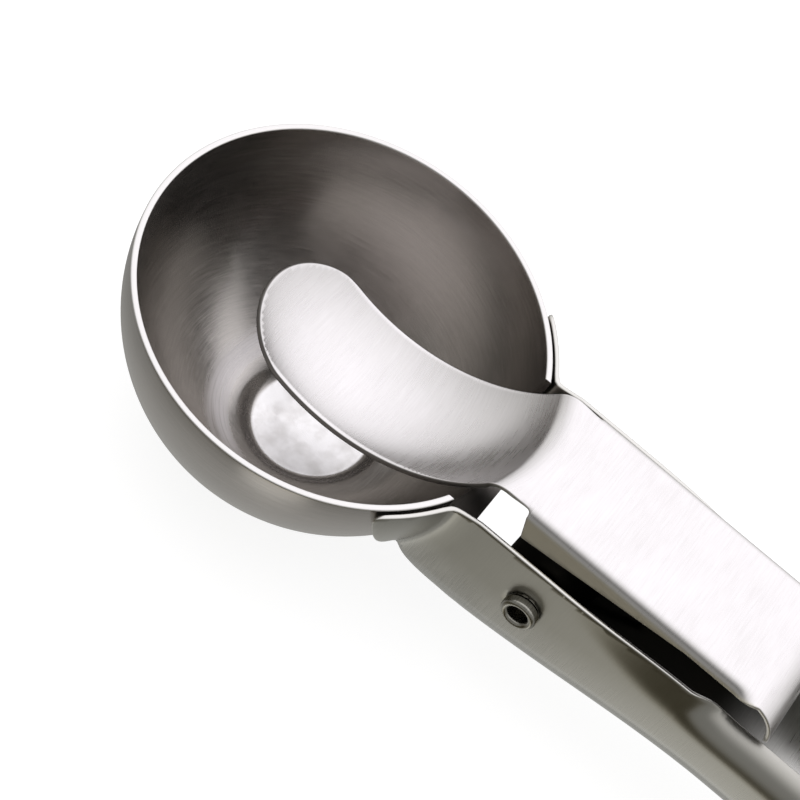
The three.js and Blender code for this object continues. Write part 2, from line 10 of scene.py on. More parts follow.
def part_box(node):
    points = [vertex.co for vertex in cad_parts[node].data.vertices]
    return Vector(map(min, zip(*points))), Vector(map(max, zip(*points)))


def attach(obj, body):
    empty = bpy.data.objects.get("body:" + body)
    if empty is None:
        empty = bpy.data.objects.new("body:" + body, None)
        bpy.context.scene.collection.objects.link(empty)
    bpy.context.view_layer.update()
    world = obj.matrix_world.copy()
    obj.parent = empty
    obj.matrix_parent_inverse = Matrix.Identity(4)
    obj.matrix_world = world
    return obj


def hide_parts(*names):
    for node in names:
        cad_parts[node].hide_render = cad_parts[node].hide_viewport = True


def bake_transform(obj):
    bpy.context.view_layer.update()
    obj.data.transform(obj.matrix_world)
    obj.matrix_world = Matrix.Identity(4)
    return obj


# Ice cream scoop with a thumb lever, all of stainless steel: a spun bowl, a folded handle and a pressed lever
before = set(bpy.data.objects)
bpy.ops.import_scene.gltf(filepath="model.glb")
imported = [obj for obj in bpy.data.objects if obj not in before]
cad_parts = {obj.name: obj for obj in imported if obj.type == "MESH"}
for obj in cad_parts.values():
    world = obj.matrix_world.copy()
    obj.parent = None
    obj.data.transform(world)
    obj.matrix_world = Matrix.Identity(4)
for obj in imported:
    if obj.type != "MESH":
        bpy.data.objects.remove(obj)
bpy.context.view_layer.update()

# Sizes in millimetres, as the solids have them
# Lengths run from the back of the bowl's rim along the handle, and heights from the plane of the rim
MM = 0.001
BOWL_RADIUS = 25.0
BOWL_SHEET = 0.8
RIM_BAND = 0.6
BASE_FLAT = 3.0
NOTCH_DEPTH = 6.0
LIP_REACH = 2.4
HANDLE_WIDTH = 23.6
SHEET = 0.6
HANDLE_END_WIDTH = 19.0
WALL_TOP = 0.6
FLOOR_FRONT = -17.1
FLOOR_REAR = -12.9
FLOOR_RISE = (2.2, 40.2)
FLOOR_CORNER = 4.0
FLOOR_MOUTH = 7.7
CHEEK_BOTTOM = -14.9
CHEEK_AT_BOWL = -12.4
MOUTH_CURVE = 3.0
LEAN_START = 11.2
LEAN = math.radians(12)
ROLL_RUN = (31.2, 38.7)
ROLL_STRIP = 5.3
LEAST_STRIP = 0.8
ROLL = math.radians(90)
BEND_START = 40.2
BEND_LENGTH = 46.0
HANDLE_LENGTH = 133.2
TAPER_START = 52.2
WALL_RUN_OUT = 42.0
TAB_LENGTH = 15.0
TAB_EDGE = 1.5
HANG_HOLE = 4.0
HANG_INSET = 9.0
EAR_REACH = 6.2
EAR_SLANT = 2.8
EAR_TOP = -0.2
EAR_CORNER = 1.2
EAR_HEEL = 4.0
EAR_RAMP = 3.5
PIVOT_X = 11.4
PIVOT_Z = -6.5
PRESS = math.radians(25)
PLATE_TOP = 4.2
LEVER_BEND = 1.5
FLANGE_FRONT = 5.0
FLANGE_SLANT = 0.9
FLANGE_DEPTH_REAR = 1.3
FLANGE_THIN = 28.2
FLANGE_END = 37.2
FLANGE_RUN_OUT = 2.5
LUG = 5.5
LUG_RECESS = 0.5
TONGUE_ROOT_INSET = 0.75
TONGUE_TIP = math.radians(-14.4)
TONGUE_BEND = 3.0
THUMB_CURL = 4.4
THUMB_TURN = math.radians(75)
RIVET = 1.8
RIVET_HOLE = 1.3
RIVET_HOLE_DEPTH = 5.0
RIVET_ROLL = 2.3
RIVET_ROLL_HEIGHT = 1.2
RIVET_HEAD = 3.2
RIVET_HEAD_HEIGHT = 1.2
WASHER = 3.8
WASHER_THICKNESS = 2.0
WIRE = 0.9
COIL_RADIUS = 3.0
COIL_PITCH = 1.45
COIL_TURNS = 4
LEG_LENGTH = 13.0
SEAT_GAP = 0.3
PIVOT_CLEARANCE = 0.2
TONGUE_CLEARANCE = 0.55

# Finer shape, which the sheets have here alone
FOOT_MIDDLE = (4.1, 1.6)
FOOT = 7.4
FOOT_RING = (9.8, 13.5)
FOOT_SAG = 84.0
FOOT_RISE = 0.25
LEAN_FOLD = 2.0
EAR_FOLD = 0.9
TAB_BLEND = 0.8
FLANGE_SPLAY = math.radians(15)
FLANGE_DEPTH_FRONT = 3.5
FLANGE_GAP = 0.6
FLANGE_CORNER = 0.2
THUMB_CORNER = 1.6
TONGUE_INSET = 0.35
TAB_NOSE = 0.3
MOUTH_LIFT = 0.02
DRILL_POINT = 0.5
EDGE_ROUND = 0.15
ROUND_SHARE = 1 - math.sqrt(0.5)
RIM_ROUND = 0.22
ROLL_ROUND = 0.12
HEAD_ROUND = 0.1
WASHER_ROUND = 0.15

# Spacing of the points of each mesh, and steps round holes and turned pieces
HANDLE_STEP = 0.55
EAR_STEP = 0.45
EAR_LINES_END = 4
GRIP_STEP = 0.9
LEVER_STEP = 0.3
DISH_STEP = 0.6
ROOT_STEP = 0.15
PLATE_STEP = 0.7
CURL_STEP = 0.4
FOLD_STEP = 0.24
CURL_LINES = 3
LUG_STEP = 0.8
LUG_EDGE_STEP = 0.5
HOLE_STEPS = 28
HANG_STEPS = 48
BOWL_STEPS = 192
BALL_STEPS = 160
PIVOT_STEPS = 72
WIRE_SIDES = 14
SHARP = math.radians(40)

# What follows from them
BOWL_OUTER = BOWL_RADIUS + BOWL_SHEET
BOWL_X = -BOWL_OUTER
BASE_LEVEL = -RIM_BAND - math.sqrt(BOWL_OUTER ** 2 - BASE_FLAT ** 2)
HANDLE_HALF = HANDLE_WIDTH / 2
CHANNEL_HALF = HANDLE_HALF - SHEET
LUG_HALF = CHANNEL_HALF - WASHER_THICKNESS - 2 * SEAT_GAP
LEVER_HALF = LUG_HALF + LUG_RECESS
EAR_OUTER = BOWL_OUTER + SEAT_GAP + SHEET
CREASE = BOWL_X + math.sqrt(EAR_OUTER ** 2 - HANDLE_HALF ** 2)
EAR_FRONT = CREASE - EAR_REACH
EAR_BACK = EAR_FRONT + EAR_SLANT
STRAIGHT_REAR = HANDLE_LENGTH - BEND_START - BEND_LENGTH
BEND_ANGLE = math.asin((FLOOR_REAR - BASE_LEVEL) / (BEND_LENGTH / 2 + STRAIGHT_REAR))
BEND_RADIUS = BEND_LENGTH / BEND_ANGLE
QUARTER = math.pi / 2

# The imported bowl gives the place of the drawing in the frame: its foremost point and the plane of its rim
bowl_low, bowl_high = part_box("bowl")
DRAWING = np.array([bowl_low.x + 2 * BOWL_OUTER * MM, 0.0, bowl_high.z])
scene = bpy.context.scene


def in_frame(points):
    return np.asarray(points, float) * MM + DRAWING


def place_of(x, z):
    return Vector(in_frame((x, 0, z)))


def set_out(name, data):
    thing = bpy.data.objects.new(name, data)
    scene.collection.objects.link(thing)
    return thing


def smoothstep(value, low, high):
    share = np.clip((value - low) / (high - low), 0, 1)
    return share * share * (3 - 2 * share)


def mix(first, second, share):
    return first + (second - first) * share


def quadratic(start, control, end, steps=14):
    share = np.linspace(0, 1, steps + 1)[:, None]
    start, control, end = np.array([start, control, end], float)
    return start * (1 - share) ** 2 + control * 2 * share * (1 - share) + end * share ** 2


def evenly(points, step):
    """The same line with points a step apart, its corners kept near enough."""
    lengths = np.hypot(*np.diff(points, axis=0).T)
    points = points[np.r_[True, lengths > 1e-9]]
    along = np.r_[0, np.cumsum(np.hypot(*np.diff(points, axis=0).T))]
    wanted = np.linspace(0, along[-1], max(int(round(along[-1] / step)), 1) + 1)
    return np.c_[np.interp(wanted, along, points[:, 0]), np.interp(wanted, along, points[:, 1])]


def ring(x, y, radius, steps):
    turn = np.linspace(0, 2 * math.pi, steps, endpoint=False)
    return np.c_[x + radius * np.cos(turn), y + radius * np.sin(turn)]


def signed_area(loop):
    x, y = loop.T
    return 0.5 * np.sum(x * np.roll(y, -1) - np.roll(x, -1) * y)


def inside(points, loops):
    """Which points lie on the sheet, counting how often a line to the right of each crosses the loops."""
    x, y = points.T
    found = np.zeros(len(x), bool)
    for loop in loops:
        for (ax, ay), (bx, by) in zip(loop, np.roll(loop, -1, axis=0)):
            if ay != by:
                crossed = (ay > y) != (by > y)
                found ^= crossed & (x < ax + (y - ay) * (bx - ax) / (by - ay))
    return found


def pressed_sheet(name, loops, lines_u, lines_v, place):
    """Sheet metal cut to its flat outline and holes, with rounded edges, and folded by place(u, v, depth)."""
    flat = [loop if (signed_area(loop) > 0) == (k == 0) else loop[::-1] for k, loop in enumerate(loops)]
    drawn_in = []
    for loop in flat:
        along = np.roll(loop, -1, axis=0) - np.roll(loop, 1, axis=0)
        along /= np.linalg.norm(along, axis=1)[:, None]
        drawn_in.append(loop + EDGE_ROUND * np.c_[-along[:, 1], along[:, 0]])
    grid = np.stack(np.meshgrid(lines_u, lines_v, indexing="ij"), -1).reshape(-1, 2)
    grid = grid[inside(grid, drawn_in)]
    edge = np.vstack(drawn_in)
    tree = KDTree(len(edge))
    for k, (u, v) in enumerate(edge):
        tree.insert((u, v, 0), k)
    tree.balance()
    clear = 0.6 * min(np.diff(lines_u).min(), np.diff(lines_v).min())
    grid = grid[[tree.find((u, v, 0))[2] > clear for u, v in grid]]
    edges = []
    for loop in drawn_in:
        first = len(edges)
        edges += [(first + k, first + (k + 1) % len(loop)) for k in range(len(loop))]
    points = np.vstack([edge, grid])
    found = delaunay_2d_cdt([Vector(point) for point in points], edges, [], 0, 1e-7, False)
    points = np.array([tuple(point) for point in found[0]])
    triangles = np.array(found[2])
    triangles = triangles[inside(points[triangles].mean(axis=1), drawn_in)]
    # Rows round each edge: from the outer face over two rounded corners to the inner face
    rows = [(ROUND_SHARE, ROUND_SHARE), (0, 1), (0, -1), (ROUND_SHARE, -ROUND_SHARE)]
    places = [place(points[:, 0], points[:, 1], 0.0)]
    flat_uv = [points]
    for inset, depth in rows:
        row = np.vstack([mix(a, b, inset) for a, b in zip(flat, drawn_in)])
        level = depth * EDGE_ROUND if depth > 0 else SHEET + depth * EDGE_ROUND
        places.append(place(row[:, 0], row[:, 1], level))
        flat_uv.append(row)
    places.append(place(points[:, 0], points[:, 1], SHEET))
    flat_uv.append(points)
    count, rim = len(points), len(edge)
    starts = [0] + [count + k * rim for k in range(len(rows) + 1)]
    faces = triangles.tolist() + (triangles[:, ::-1] + starts[-1]).tolist()
    for upper, lower in zip(starts, starts[1:]):
        faces += [(upper + b, upper + a, lower + a, lower + b) for a, b in edges]
    marks = {"cut_edge": np.r_[np.zeros(count), np.ones(len(rows) * rim), np.zeros(count)],
             "inner_face": np.r_[np.zeros(count + (len(rows) - 1) * rim), np.ones(rim + count)]}
    return mesh_piece(name, np.vstack(places), faces, np.vstack(flat_uv), marks)


def mesh_piece(name, points, faces, flat_uv, marks):
    """A piece from points in millimetres, with its flat sheet as UV map and marks on its points."""
    mesh = bpy.data.meshes.new(name)
    mesh.from_pydata(in_frame(points).tolist(), [], faces)
    mesh.validate()
    corners = np.zeros(len(mesh.loops), np.int32)
    mesh.loops.foreach_get("vertex_index", corners)
    layer = mesh.uv_layers.new(name="flat_sheet")
    layer.uv.foreach_set("vector", (flat_uv[corners] * MM).astype(np.float32).ravel())
    for mark, values in marks.items():
        mesh.attributes.new(mark, "FLOAT", "POINT").data.foreach_set("value", values.astype(np.float32))
    face_up(mesh)
    mesh.shade_smooth()
    return set_out(name, mesh)


def face_up(mesh):
    """Turns a closed mesh that is inside out."""
    mesh.calc_loop_triangles()
    count = len(mesh.loop_triangles)
    corners = np.zeros(3 * count, np.int32)
    mesh.loop_triangles.foreach_get("vertices", corners)
    points = np.zeros(3 * len(mesh.vertices))
    mesh.vertices.foreach_get("co", points)
    a, b, c = points.reshape(-1, 3)[corners.reshape(-1, 3)].transpose(1, 0, 2)
    if np.einsum("ij,ij->i", a, np.cross(b, c)).sum() < 0:
        mesh.flip_normals()


# Handle
def handle_half(s):
    return mix(HANDLE_HALF, HANDLE_END_WIDTH / 2, smoothstep(s, TAPER_START, HANDLE_LENGTH))


def handle_floor(s):
    return mix(FLOOR_FRONT, FLOOR_REAR, smoothstep(s, *FLOOR_RISE))


def roll_strip(s):
    grown = np.clip((s - LEAN_START) / (ROLL_RUN[0] - LEAN_START), 0, 1)
    return mix(LEAST_STRIP, ROLL_STRIP, np.sin(grown * QUARTER))


def folded_half(s):
    """Flat distance from the middle of the floor round the corner to the wall's top edge."""
    return handle_half(s) + FLOOR_CORNER * (QUARTER - 2) + WALL_TOP - handle_floor(s)


def handle_curl(s):
    """How far the top of the wall has turned in: it leans first and then rolls over."""
    return LEAN * smoothstep(s, LEAN_START, ROLL_RUN[0]) + (ROLL - LEAN) * smoothstep(s, *ROLL_RUN)


def wall_place(s, height):
    """Flat distance from the middle of the floor to a height on the wall, its corner or its rolled lip."""
    s, height = np.broadcast_arrays(np.asarray(s, float), np.asarray(height, float))
    floor = handle_floor(s)
    turn = np.arccos(np.clip(1 - (height - floor) / FLOOR_CORNER, 0, 1))
    corner = handle_half(s) - FLOOR_CORNER + FLOOR_CORNER * turn
    wall = folded_half(s) - WALL_TOP + height
    strip = roll_strip(s)
    curl = handle_curl(s) + 1e-6
    rise = np.clip((height - WALL_TOP + strip) * curl / strip, -1, np.sin(curl))
    lip = folded_half(s) - strip + np.arcsin(rise) * strip / curl
    return np.where(height < floor + FLOOR_CORNER, corner, np.where(height < WALL_TOP - strip, wall, lip))


def handle_place(s, t, depth):
    side, across = np.sign(t), np.abs(t)
    half, floor, strip = handle_half(s), handle_floor(s), roll_strip(s)
    corner_start = half - FLOOR_CORNER
    wall_start = corner_start + FLOOR_CORNER * QUARTER
    strip_start = folded_half(s) - strip
    curl = handle_curl(s)
    reach = np.maximum(across - strip_start, 0)
    fold = mix(np.minimum(LEAN_FOLD, strip), strip, smoothstep(s, *ROLL_RUN))
    straight = np.maximum(reach - fold, 0)
    reach = np.minimum(reach, fold)
    rolled = curl * reach / fold
    bow = np.sinc(rolled / (2 * math.pi))
    facing = np.where(across < wall_start, np.clip((across - wall_start) / FLOOR_CORNER, -QUARTER, 0), rolled)
    y = np.minimum(across, corner_start) + FLOOR_CORNER * np.where(across < wall_start, np.cos(facing), 1)
    y = np.where(across < corner_start, across, y)
    y = y - reach * bow * np.sin(rolled / 2) - straight * np.sin(rolled)
    height = floor + FLOOR_CORNER * (1 + np.sin(np.minimum(facing, 0)))
    height = height + np.clip(across - wall_start, 0, strip_start - wall_start)
    height = height + reach * bow * np.cos(rolled / 2) + straight * np.cos(rolled)
    y = y - depth * np.cos(facing)
    height = height - depth * np.sin(facing)
    # Ahead of the crease the wall goes over into an ear, on a ball round the bowl
    ball = (EAR_OUTER - depth) ** 2 - (s - BOWL_X) ** 2 - (height + RIM_BAND) ** 2
    ear = np.sqrt(np.maximum(ball, 0))
    wall = np.where(across < corner_start, y, (y + ear + np.sqrt((y - ear) ** 2 + EAR_FOLD ** 2)) / 2)
    y = mix(wall, y, smoothstep(s, LEAN_START - EAR_RAMP, LEAN_START))
    turned = np.clip((s - BEND_START) / BEND_LENGTH, 0, 1) * BEND_ANGLE
    ahead = np.maximum(s - BEND_START - BEND_LENGTH, 0)
    x = np.minimum(s, BEND_START) + BEND_RADIUS * np.sin(turned) + ahead * np.cos(turned)
    z = -BEND_RADIUS * (1 - np.cos(turned)) - ahead * np.sin(turned)
    return np.c_[x + height * np.sin(turned), side * y, z + height * np.cos(turned)]


def handle_outline():
    """Flat outline of the far half of the handle, from the end of the tab to the mouth of the floor."""
    tab_top = FLOOR_REAR + SHEET + TAB_EDGE
    radius = HANDLE_END_WIDTH / 2
    turn = np.linspace(0, QUARTER, 60)
    s = HANDLE_LENGTH - radius + radius * np.cos(turn)
    y = radius * np.sin(turn)
    flat = handle_half(s) - FLOOR_CORNER
    over = np.clip((y - flat) / FLOOR_CORNER, 0, 1)
    round_end = np.where(y < flat, y, flat + FLOOR_CORNER * np.arcsin(over))
    tray = wall_place(s, tab_top)
    least = (round_end + tray - np.sqrt((round_end - tray) ** 2 + TAB_BLEND ** 2)) / 2
    end = np.c_[s, np.where(turn < TAB_NOSE, round_end, least)]
    share = np.linspace(0, 1, 90)
    run_s = 1.5 * share * (1 - share) * WALL_RUN_OUT + share ** 3 * WALL_RUN_OUT
    run_s = HANDLE_LENGTH - TAB_LENGTH - run_s
    run_height = mix(tab_top, WALL_TOP, smoothstep(share, 0, 1))
    run_out = np.c_[run_s, wall_place(run_s, run_height)]
    top_s = np.linspace(run_s[-1], CREASE + EAR_RAMP, 160)[1:]
    top = np.c_[top_s, folded_half(top_s)]
    below = EAR_TOP - CHEEK_AT_BOWL
    front_at = lambda drop: EAR_FRONT + EAR_SLANT * drop / below
    cheek_start = FLOOR_MOUTH - 2 * MOUTH_CURVE
    ear_heel = (EAR_BACK, CHEEK_AT_BOWL)
    cheek_end = (cheek_start, CHEEK_BOTTOM)
    # The ear's heel takes the place of the first third of the cheek's curve
    cheek = quadratic(ear_heel, ((EAR_BACK + cheek_start) / 2, CHEEK_BOTTOM), cheek_end, 20)[7:]
    corner = (front_at(EAR_CORNER), EAR_TOP - EAR_CORNER)
    above_heel = (front_at(below - EAR_HEEL), CHEEK_AT_BOWL + EAR_HEEL)
    mouth = (FLOOR_MOUTH, FLOOR_FRONT + MOUTH_LIFT)
    side_view = np.vstack([
        [(CREASE, EAR_TOP)],
        quadratic((EAR_FRONT + EAR_CORNER, EAR_TOP), (EAR_FRONT, EAR_TOP), corner, 8),
        quadratic(above_heel, ear_heel, cheek[0], 12),
        cheek[1:],
        quadratic(cheek_end, (FLOOR_MOUTH - MOUTH_CURVE, CHEEK_BOTTOM), mouth, 12)[1:],
    ])
    front = np.c_[side_view[:, 0], wall_place(side_view[:, 0], side_view[:, 1])]
    return np.vstack([end, run_out, top, front, [(FLOOR_MOUTH, 0)]])


def runs(stops, steps):
    """Places of a sheet's lines, each run between two stops with a step of its own."""
    return np.concatenate([np.arange(*run) for run in zip(stops, stops[1:], steps)])


def mirrored(half):
    """The whole outline from its far half."""
    return np.vstack([half, (half * (1, -1))[::-1][1:-1]])


def build_handle():
    hole = ring(PIVOT_X, PIVOT_Z, RIVET + PIVOT_CLEARANCE, HOLE_STEPS)
    near_hole = np.c_[hole[:, 0], -wall_place(hole[:, 0], hole[:, 1])]
    hang = ring(HANDLE_LENGTH - HANG_INSET, 0, HANG_HOLE, HANG_STEPS)
    loops = [mirrored(evenly(handle_outline(), HANDLE_STEP)), near_hole, near_hole * (1, -1), hang]
    lines_u = runs((EAR_FRONT, EAR_LINES_END, HANDLE_LENGTH), (EAR_STEP, GRIP_STEP))
    widest = folded_half(0.0)
    lines_v = np.linspace(-widest, widest, 2 * int(widest / HANDLE_STEP) + 1)
    return pressed_sheet("handle_sheet", loops, lines_u, lines_v, handle_place)


# Lever
TONGUE_RADIUS = BOWL_RADIUS - TONGUE_CLEARANCE - SHEET
AHEAD = PIVOT_X - BOWL_X
ABOVE = -RIM_BAND - PIVOT_Z
DISH_X = PIVOT_X - AHEAD * math.cos(PRESS) + ABOVE * math.sin(PRESS)
DISH_Z = PIVOT_Z + AHEAD * math.sin(PRESS) + ABOVE * math.cos(PRESS)
BEND_Z = PLATE_TOP - TONGUE_BEND
MIDDLE_TURN = math.acos((DISH_Z - BEND_Z) / (TONGUE_RADIUS + TONGUE_BEND))
TIP_TURN = TONGUE_TIP - PRESS
PLATE_START = FLANGE_FRONT - FLANGE_GAP
BEND_END = DISH_X + (TONGUE_RADIUS + TONGUE_BEND) * math.sin(MIDDLE_TURN)
DISH_END = BEND_END - TONGUE_BEND * MIDDLE_TURN
TIP_END = DISH_END - TONGUE_RADIUS * (MIDDLE_TURN - TIP_TURN)
TONGUE_ROOT = LEVER_HALF - TONGUE_ROOT_INSET
BEND_FLAT = LEVER_HALF - LEVER_BEND
FLANGE_TURN = QUARTER - FLANGE_SPLAY
FLANGE_FLAT = BEND_FLAT + LEVER_BEND * FLANGE_TURN
LIP_TOP = WALL_TOP - ROLL_STRIP + ROLL_STRIP / ROLL
CURL_LOW = PLATE_TOP - THUMB_CURL + (THUMB_CURL - SHEET) * math.cos(THUMB_TURN)
THUMB_TAIL = (CURL_LOW - LIP_TOP - SEAT_GAP) / math.sin(THUMB_TURN)
LEVER_END = FLANGE_END + THUMB_CURL * THUMB_TURN + THUMB_TAIL


def lever_place(u, v, depth):
    side, across = np.sign(v), np.abs(v)
    # Plate, with flanges turned down at its sides and a curl for the thumb at its end
    bent = smoothstep(u, BEND_END, PLATE_START)
    bent = bent * (1 - smoothstep(u, FLANGE_END - FLANGE_RUN_OUT, FLANGE_END + 1)) + 1e-4
    turn = bent * np.clip(across - BEND_FLAT, 0, LEVER_BEND * FLANGE_TURN) / LEVER_BEND
    radius = LEVER_BEND / bent
    past = np.maximum(across - FLANGE_FLAT, 0)
    y = np.minimum(across, BEND_FLAT) + radius * np.sin(turn) + past * np.cos(turn) - depth * np.sin(turn)
    drop = radius * (1 - np.cos(turn)) + past * np.sin(turn) + depth * np.cos(turn)
    curl = np.clip((u - FLANGE_END) / THUMB_CURL, 0, THUMB_TURN)
    tail = np.maximum(u - FLANGE_END - THUMB_CURL * THUMB_TURN, 0)
    x = np.minimum(u, FLANGE_END) + (THUMB_CURL - drop) * np.sin(curl) + tail * np.cos(curl)
    z = PLATE_TOP - THUMB_CURL + (THUMB_CURL - drop) * np.cos(curl) - tail * np.sin(curl)
    # Tongue: the dish, then the bend up to the plate
    near = np.minimum(across, TONGUE_ROOT)
    dish = np.sqrt(TONGUE_RADIUS ** 2 - near ** 2)
    end_turn = np.arccos((DISH_Z - BEND_Z) / (dish + TONGUE_BEND))
    bend_x = DISH_X + (dish + TONGUE_BEND) * np.sin(end_turn)
    grow = 1 + depth / TONGUE_RADIUS
    along = np.clip((u - TIP_END) / (DISH_END - TIP_END), 0, 1)
    dish_turn = mix(TIP_TURN, end_turn, along)
    bend_turn = end_turn * (1 - np.clip((u - DISH_END) / (BEND_END - DISH_END), 0, 1))
    bend_radius = TONGUE_BEND - depth
    flat_x = mix(bend_x, PLATE_START, np.clip((u - BEND_END) / (PLATE_START - BEND_END), 0, 1))
    dished, bending = u < DISH_END, u < BEND_END
    tongue_x = np.where(bending, bend_x - bend_radius * np.sin(bend_turn), flat_x)
    tongue_x = np.where(dished, DISH_X + dish * grow * np.sin(dish_turn), tongue_x)
    tongue_z = np.where(bending, BEND_Z + bend_radius * np.cos(bend_turn), z)
    tongue_z = np.where(dished, DISH_Z - dish * grow * np.cos(dish_turn), tongue_z)
    ahead = u < PLATE_START
    y = np.where(dished, across * grow, y)
    return np.c_[np.where(ahead, tongue_x, x), side * y, np.where(ahead, tongue_z, z)]


def flange_place(height):
    """Flat distance from the plate's middle to a height on the flange or the bend above it."""
    drop = PLATE_TOP - np.asarray(height, float)
    bend = BEND_FLAT + LEVER_BEND * np.arccos(np.clip(1 - drop / LEVER_BEND, 0, 1))
    past = drop - LEVER_BEND * (1 - math.cos(FLANGE_TURN))
    return np.where(past < 0, bend, FLANGE_FLAT + past / math.sin(FLANGE_TURN))


def lever_outline():
    """Flat outline of the far half of the lever, from the tongue's tip to the thumb's end."""
    tip = LEVER_HALF - TONGUE_INSET
    turn = np.linspace(0, QUARTER, 40)
    nose = np.c_[TIP_END + tip * (1 - np.cos(turn)), tip * np.sin(turn)]
    share = np.linspace(0, 1, 60)[1:]
    blade = np.c_[mix(TIP_END + tip, DISH_END, share), mix(tip, TONGUE_ROOT, share ** 3)]
    nick = (FLANGE_FRONT, TONGUE_ROOT)
    relief = quadratic((PLATE_START, TONGUE_ROOT), nick, (FLANGE_FRONT, TONGUE_ROOT + 1), 6)
    low_front = flange_place(PLATE_TOP - FLANGE_DEPTH_FRONT)
    low_rear = flange_place(PLATE_TOP - FLANGE_DEPTH_REAR)
    heel_u = FLANGE_FRONT + FLANGE_SLANT
    heel = quadratic((heel_u - 0.3 * FLANGE_CORNER, low_front - FLANGE_CORNER), (heel_u, low_front),
                     (heel_u + FLANGE_CORNER, low_front - 0.15 * FLANGE_CORNER), 5)
    side = [*heel, (FLANGE_THIN, low_rear), (FLANGE_END - FLANGE_RUN_OUT, low_rear)]
    run = quadratic(side[-1], (FLANGE_END, low_rear), (FLANGE_END + 1, LEVER_HALF), 6)
    end = quadratic((LEVER_END - THUMB_CORNER, LEVER_HALF), (LEVER_END, LEVER_HALF),
                    (LEVER_END, LEVER_HALF - THUMB_CORNER), 8)
    return np.vstack([nose, blade, relief, side, run, end, [(LEVER_END, 0)]])


def build_lever():
    outline = mirrored(evenly(lever_outline(), LEVER_STEP))
    curl_start = FLANGE_END - CURL_LINES
    lines_u = runs((TIP_END, DISH_END, BEND_END, PLATE_START, curl_start, LEVER_END),
                   (DISH_STEP, LEVER_STEP, ROOT_STEP, PLATE_STEP, CURL_STEP))
    widest = float(flange_place(PLATE_TOP - FLANGE_DEPTH_FRONT))
    half_lines = runs((0, BEND_FLAT, FLANGE_FLAT, widest), (DISH_STEP, FOLD_STEP, DISH_STEP))
    lines_v = np.r_[-half_lines[:0:-1], half_lines]
    return pressed_sheet("lever_sheet", [outline], lines_u, lines_v, lever_place)


def build_lug(name, side):
    """Flat plate behind a flange, round the rivet below."""
    around = np.linspace(math.pi, 2 * math.pi, 48)
    top = PLATE_TOP - LEVER_BEND
    below = np.c_[PIVOT_X + LUG * np.cos(around), PIVOT_Z + LUG * np.sin(around)]
    outline = np.vstack([[(PIVOT_X - LUG, top)], below, [(PIVOT_X + LUG, top), (PIVOT_X - LUG, top)]])
    outline = evenly(outline, LUG_EDGE_STEP)[:-1]
    hole = ring(PIVOT_X, PIVOT_Z, RIVET + PIVOT_CLEARANCE, HOLE_STEPS)
    lines_u = np.arange(PIVOT_X - LUG, PIVOT_X + LUG, LUG_STEP)
    lines_v = np.arange(PIVOT_Z - LUG, top, LUG_STEP)
    place = lambda u, v, depth: np.c_[u, np.full(len(u), side * (LUG_HALF - depth)), v]
    lug = pressed_sheet(name, [outline, hole], lines_u, lines_v, place)
    # The whole lug counts as an inner face, so the lever's painted shade covers it, and it has no cut edges
    count = len(lug.data.vertices)
    for mark, value in (("inner_face", 1), ("cut_edge", 0)):
        lug.data.attributes[mark].data.foreach_set("value", np.full(count, value, np.float32))
    return lug


# Nodes
def add(tree, kind, inputs=None, **settings):
    """A node with its settings and what goes into its sockets. Shader kinds come without their prefix."""
    made = tree.nodes.new(kind if "Node" in kind else "ShaderNode" + kind)
    for key, value in settings.items():
        setattr(made, key, value)
    feed(tree, made, inputs or {})
    return made


def feed(tree, node, inputs):
    """Fills sockets: each with a value, another node's first output, a certain output, or a list of these."""
    for key, value in inputs.items():
        if not isinstance(value, (bpy.types.Node, bpy.types.NodeSocket, list)):
            node.inputs[key].default_value = value
            continue
        for source in value if isinstance(value, list) else [value]:
            socket = source.outputs[0] if isinstance(source, bpy.types.Node) else source
            tree.links.new(socket, node.inputs[key])


def cover(tree, *spans, share=1.0, fade="SMOOTHSTEP"):
    """How far a finish covers a place, or a light a direction: each value fades it in along its span."""
    for value, (start, full) in spans:
        limits = {"Value": value, "From Min": start, "From Max": full}
        part = add(tree, "MapRange", limits, interpolation_type=fade)
        share = add(tree, "Math", {0: part, 1: share}, operation="MULTIPLY")
    return share


def shape_tree(name, sizes):
    """Geometry Nodes tree that takes a line and named sizes and gives the finished shape."""
    tree = bpy.data.node_groups.new(name, "GeometryNodeTree")
    tree.interface.new_socket("Line", in_out="INPUT", socket_type="NodeSocketGeometry")
    for size, kind in sizes.items():
        tree.interface.new_socket(size, in_out="INPUT", socket_type=kind)
    tree.interface.new_socket("Shape", in_out="OUTPUT", socket_type="NodeSocketGeometry")
    return tree, add(tree, "NodeGroupInput").outputs


def close_tree(tree, shape, steel):
    real = add(tree, "GeometryNodeRealizeInstances", {"Geometry": shape})
    smooth = add(tree, "GeometryNodeSetShadeSmooth", {"Geometry": real})
    coated = add(tree, "GeometryNodeSetMaterial", {"Geometry": smooth, "Material": steel})
    add(tree, "NodeGroupOutput", {"Shape": coated})


def grown(name, tree, line, sizes):
    """Runs a shape tree on a line of points and keeps the result as a plain mesh."""
    draft = bpy.data.meshes.new(name + "_line")
    draft.from_pydata([tuple(point) for point in line], [(k, k + 1) for k in range(len(line) - 1)], [])
    piece = set_out(name, draft)
    nodes = piece.modifiers.new("grown", "NODES")
    nodes.node_group = tree
    for socket in tree.interface.items_tree:
        if socket.in_out == "INPUT" and socket.name in sizes:
            nodes[socket.identifier] = sizes[socket.name]
    bpy.context.view_layer.update()
    shaped = piece.evaluated_get(bpy.context.evaluated_depsgraph_get())
    mesh = bpy.data.meshes.new_from_object(shaped)
    piece.modifiers.remove(nodes)
    piece.data = mesh
    mesh.name = name
    face_up(mesh)
    mesh.set_sharp_from_angle(angle=SHARP)
    return piece


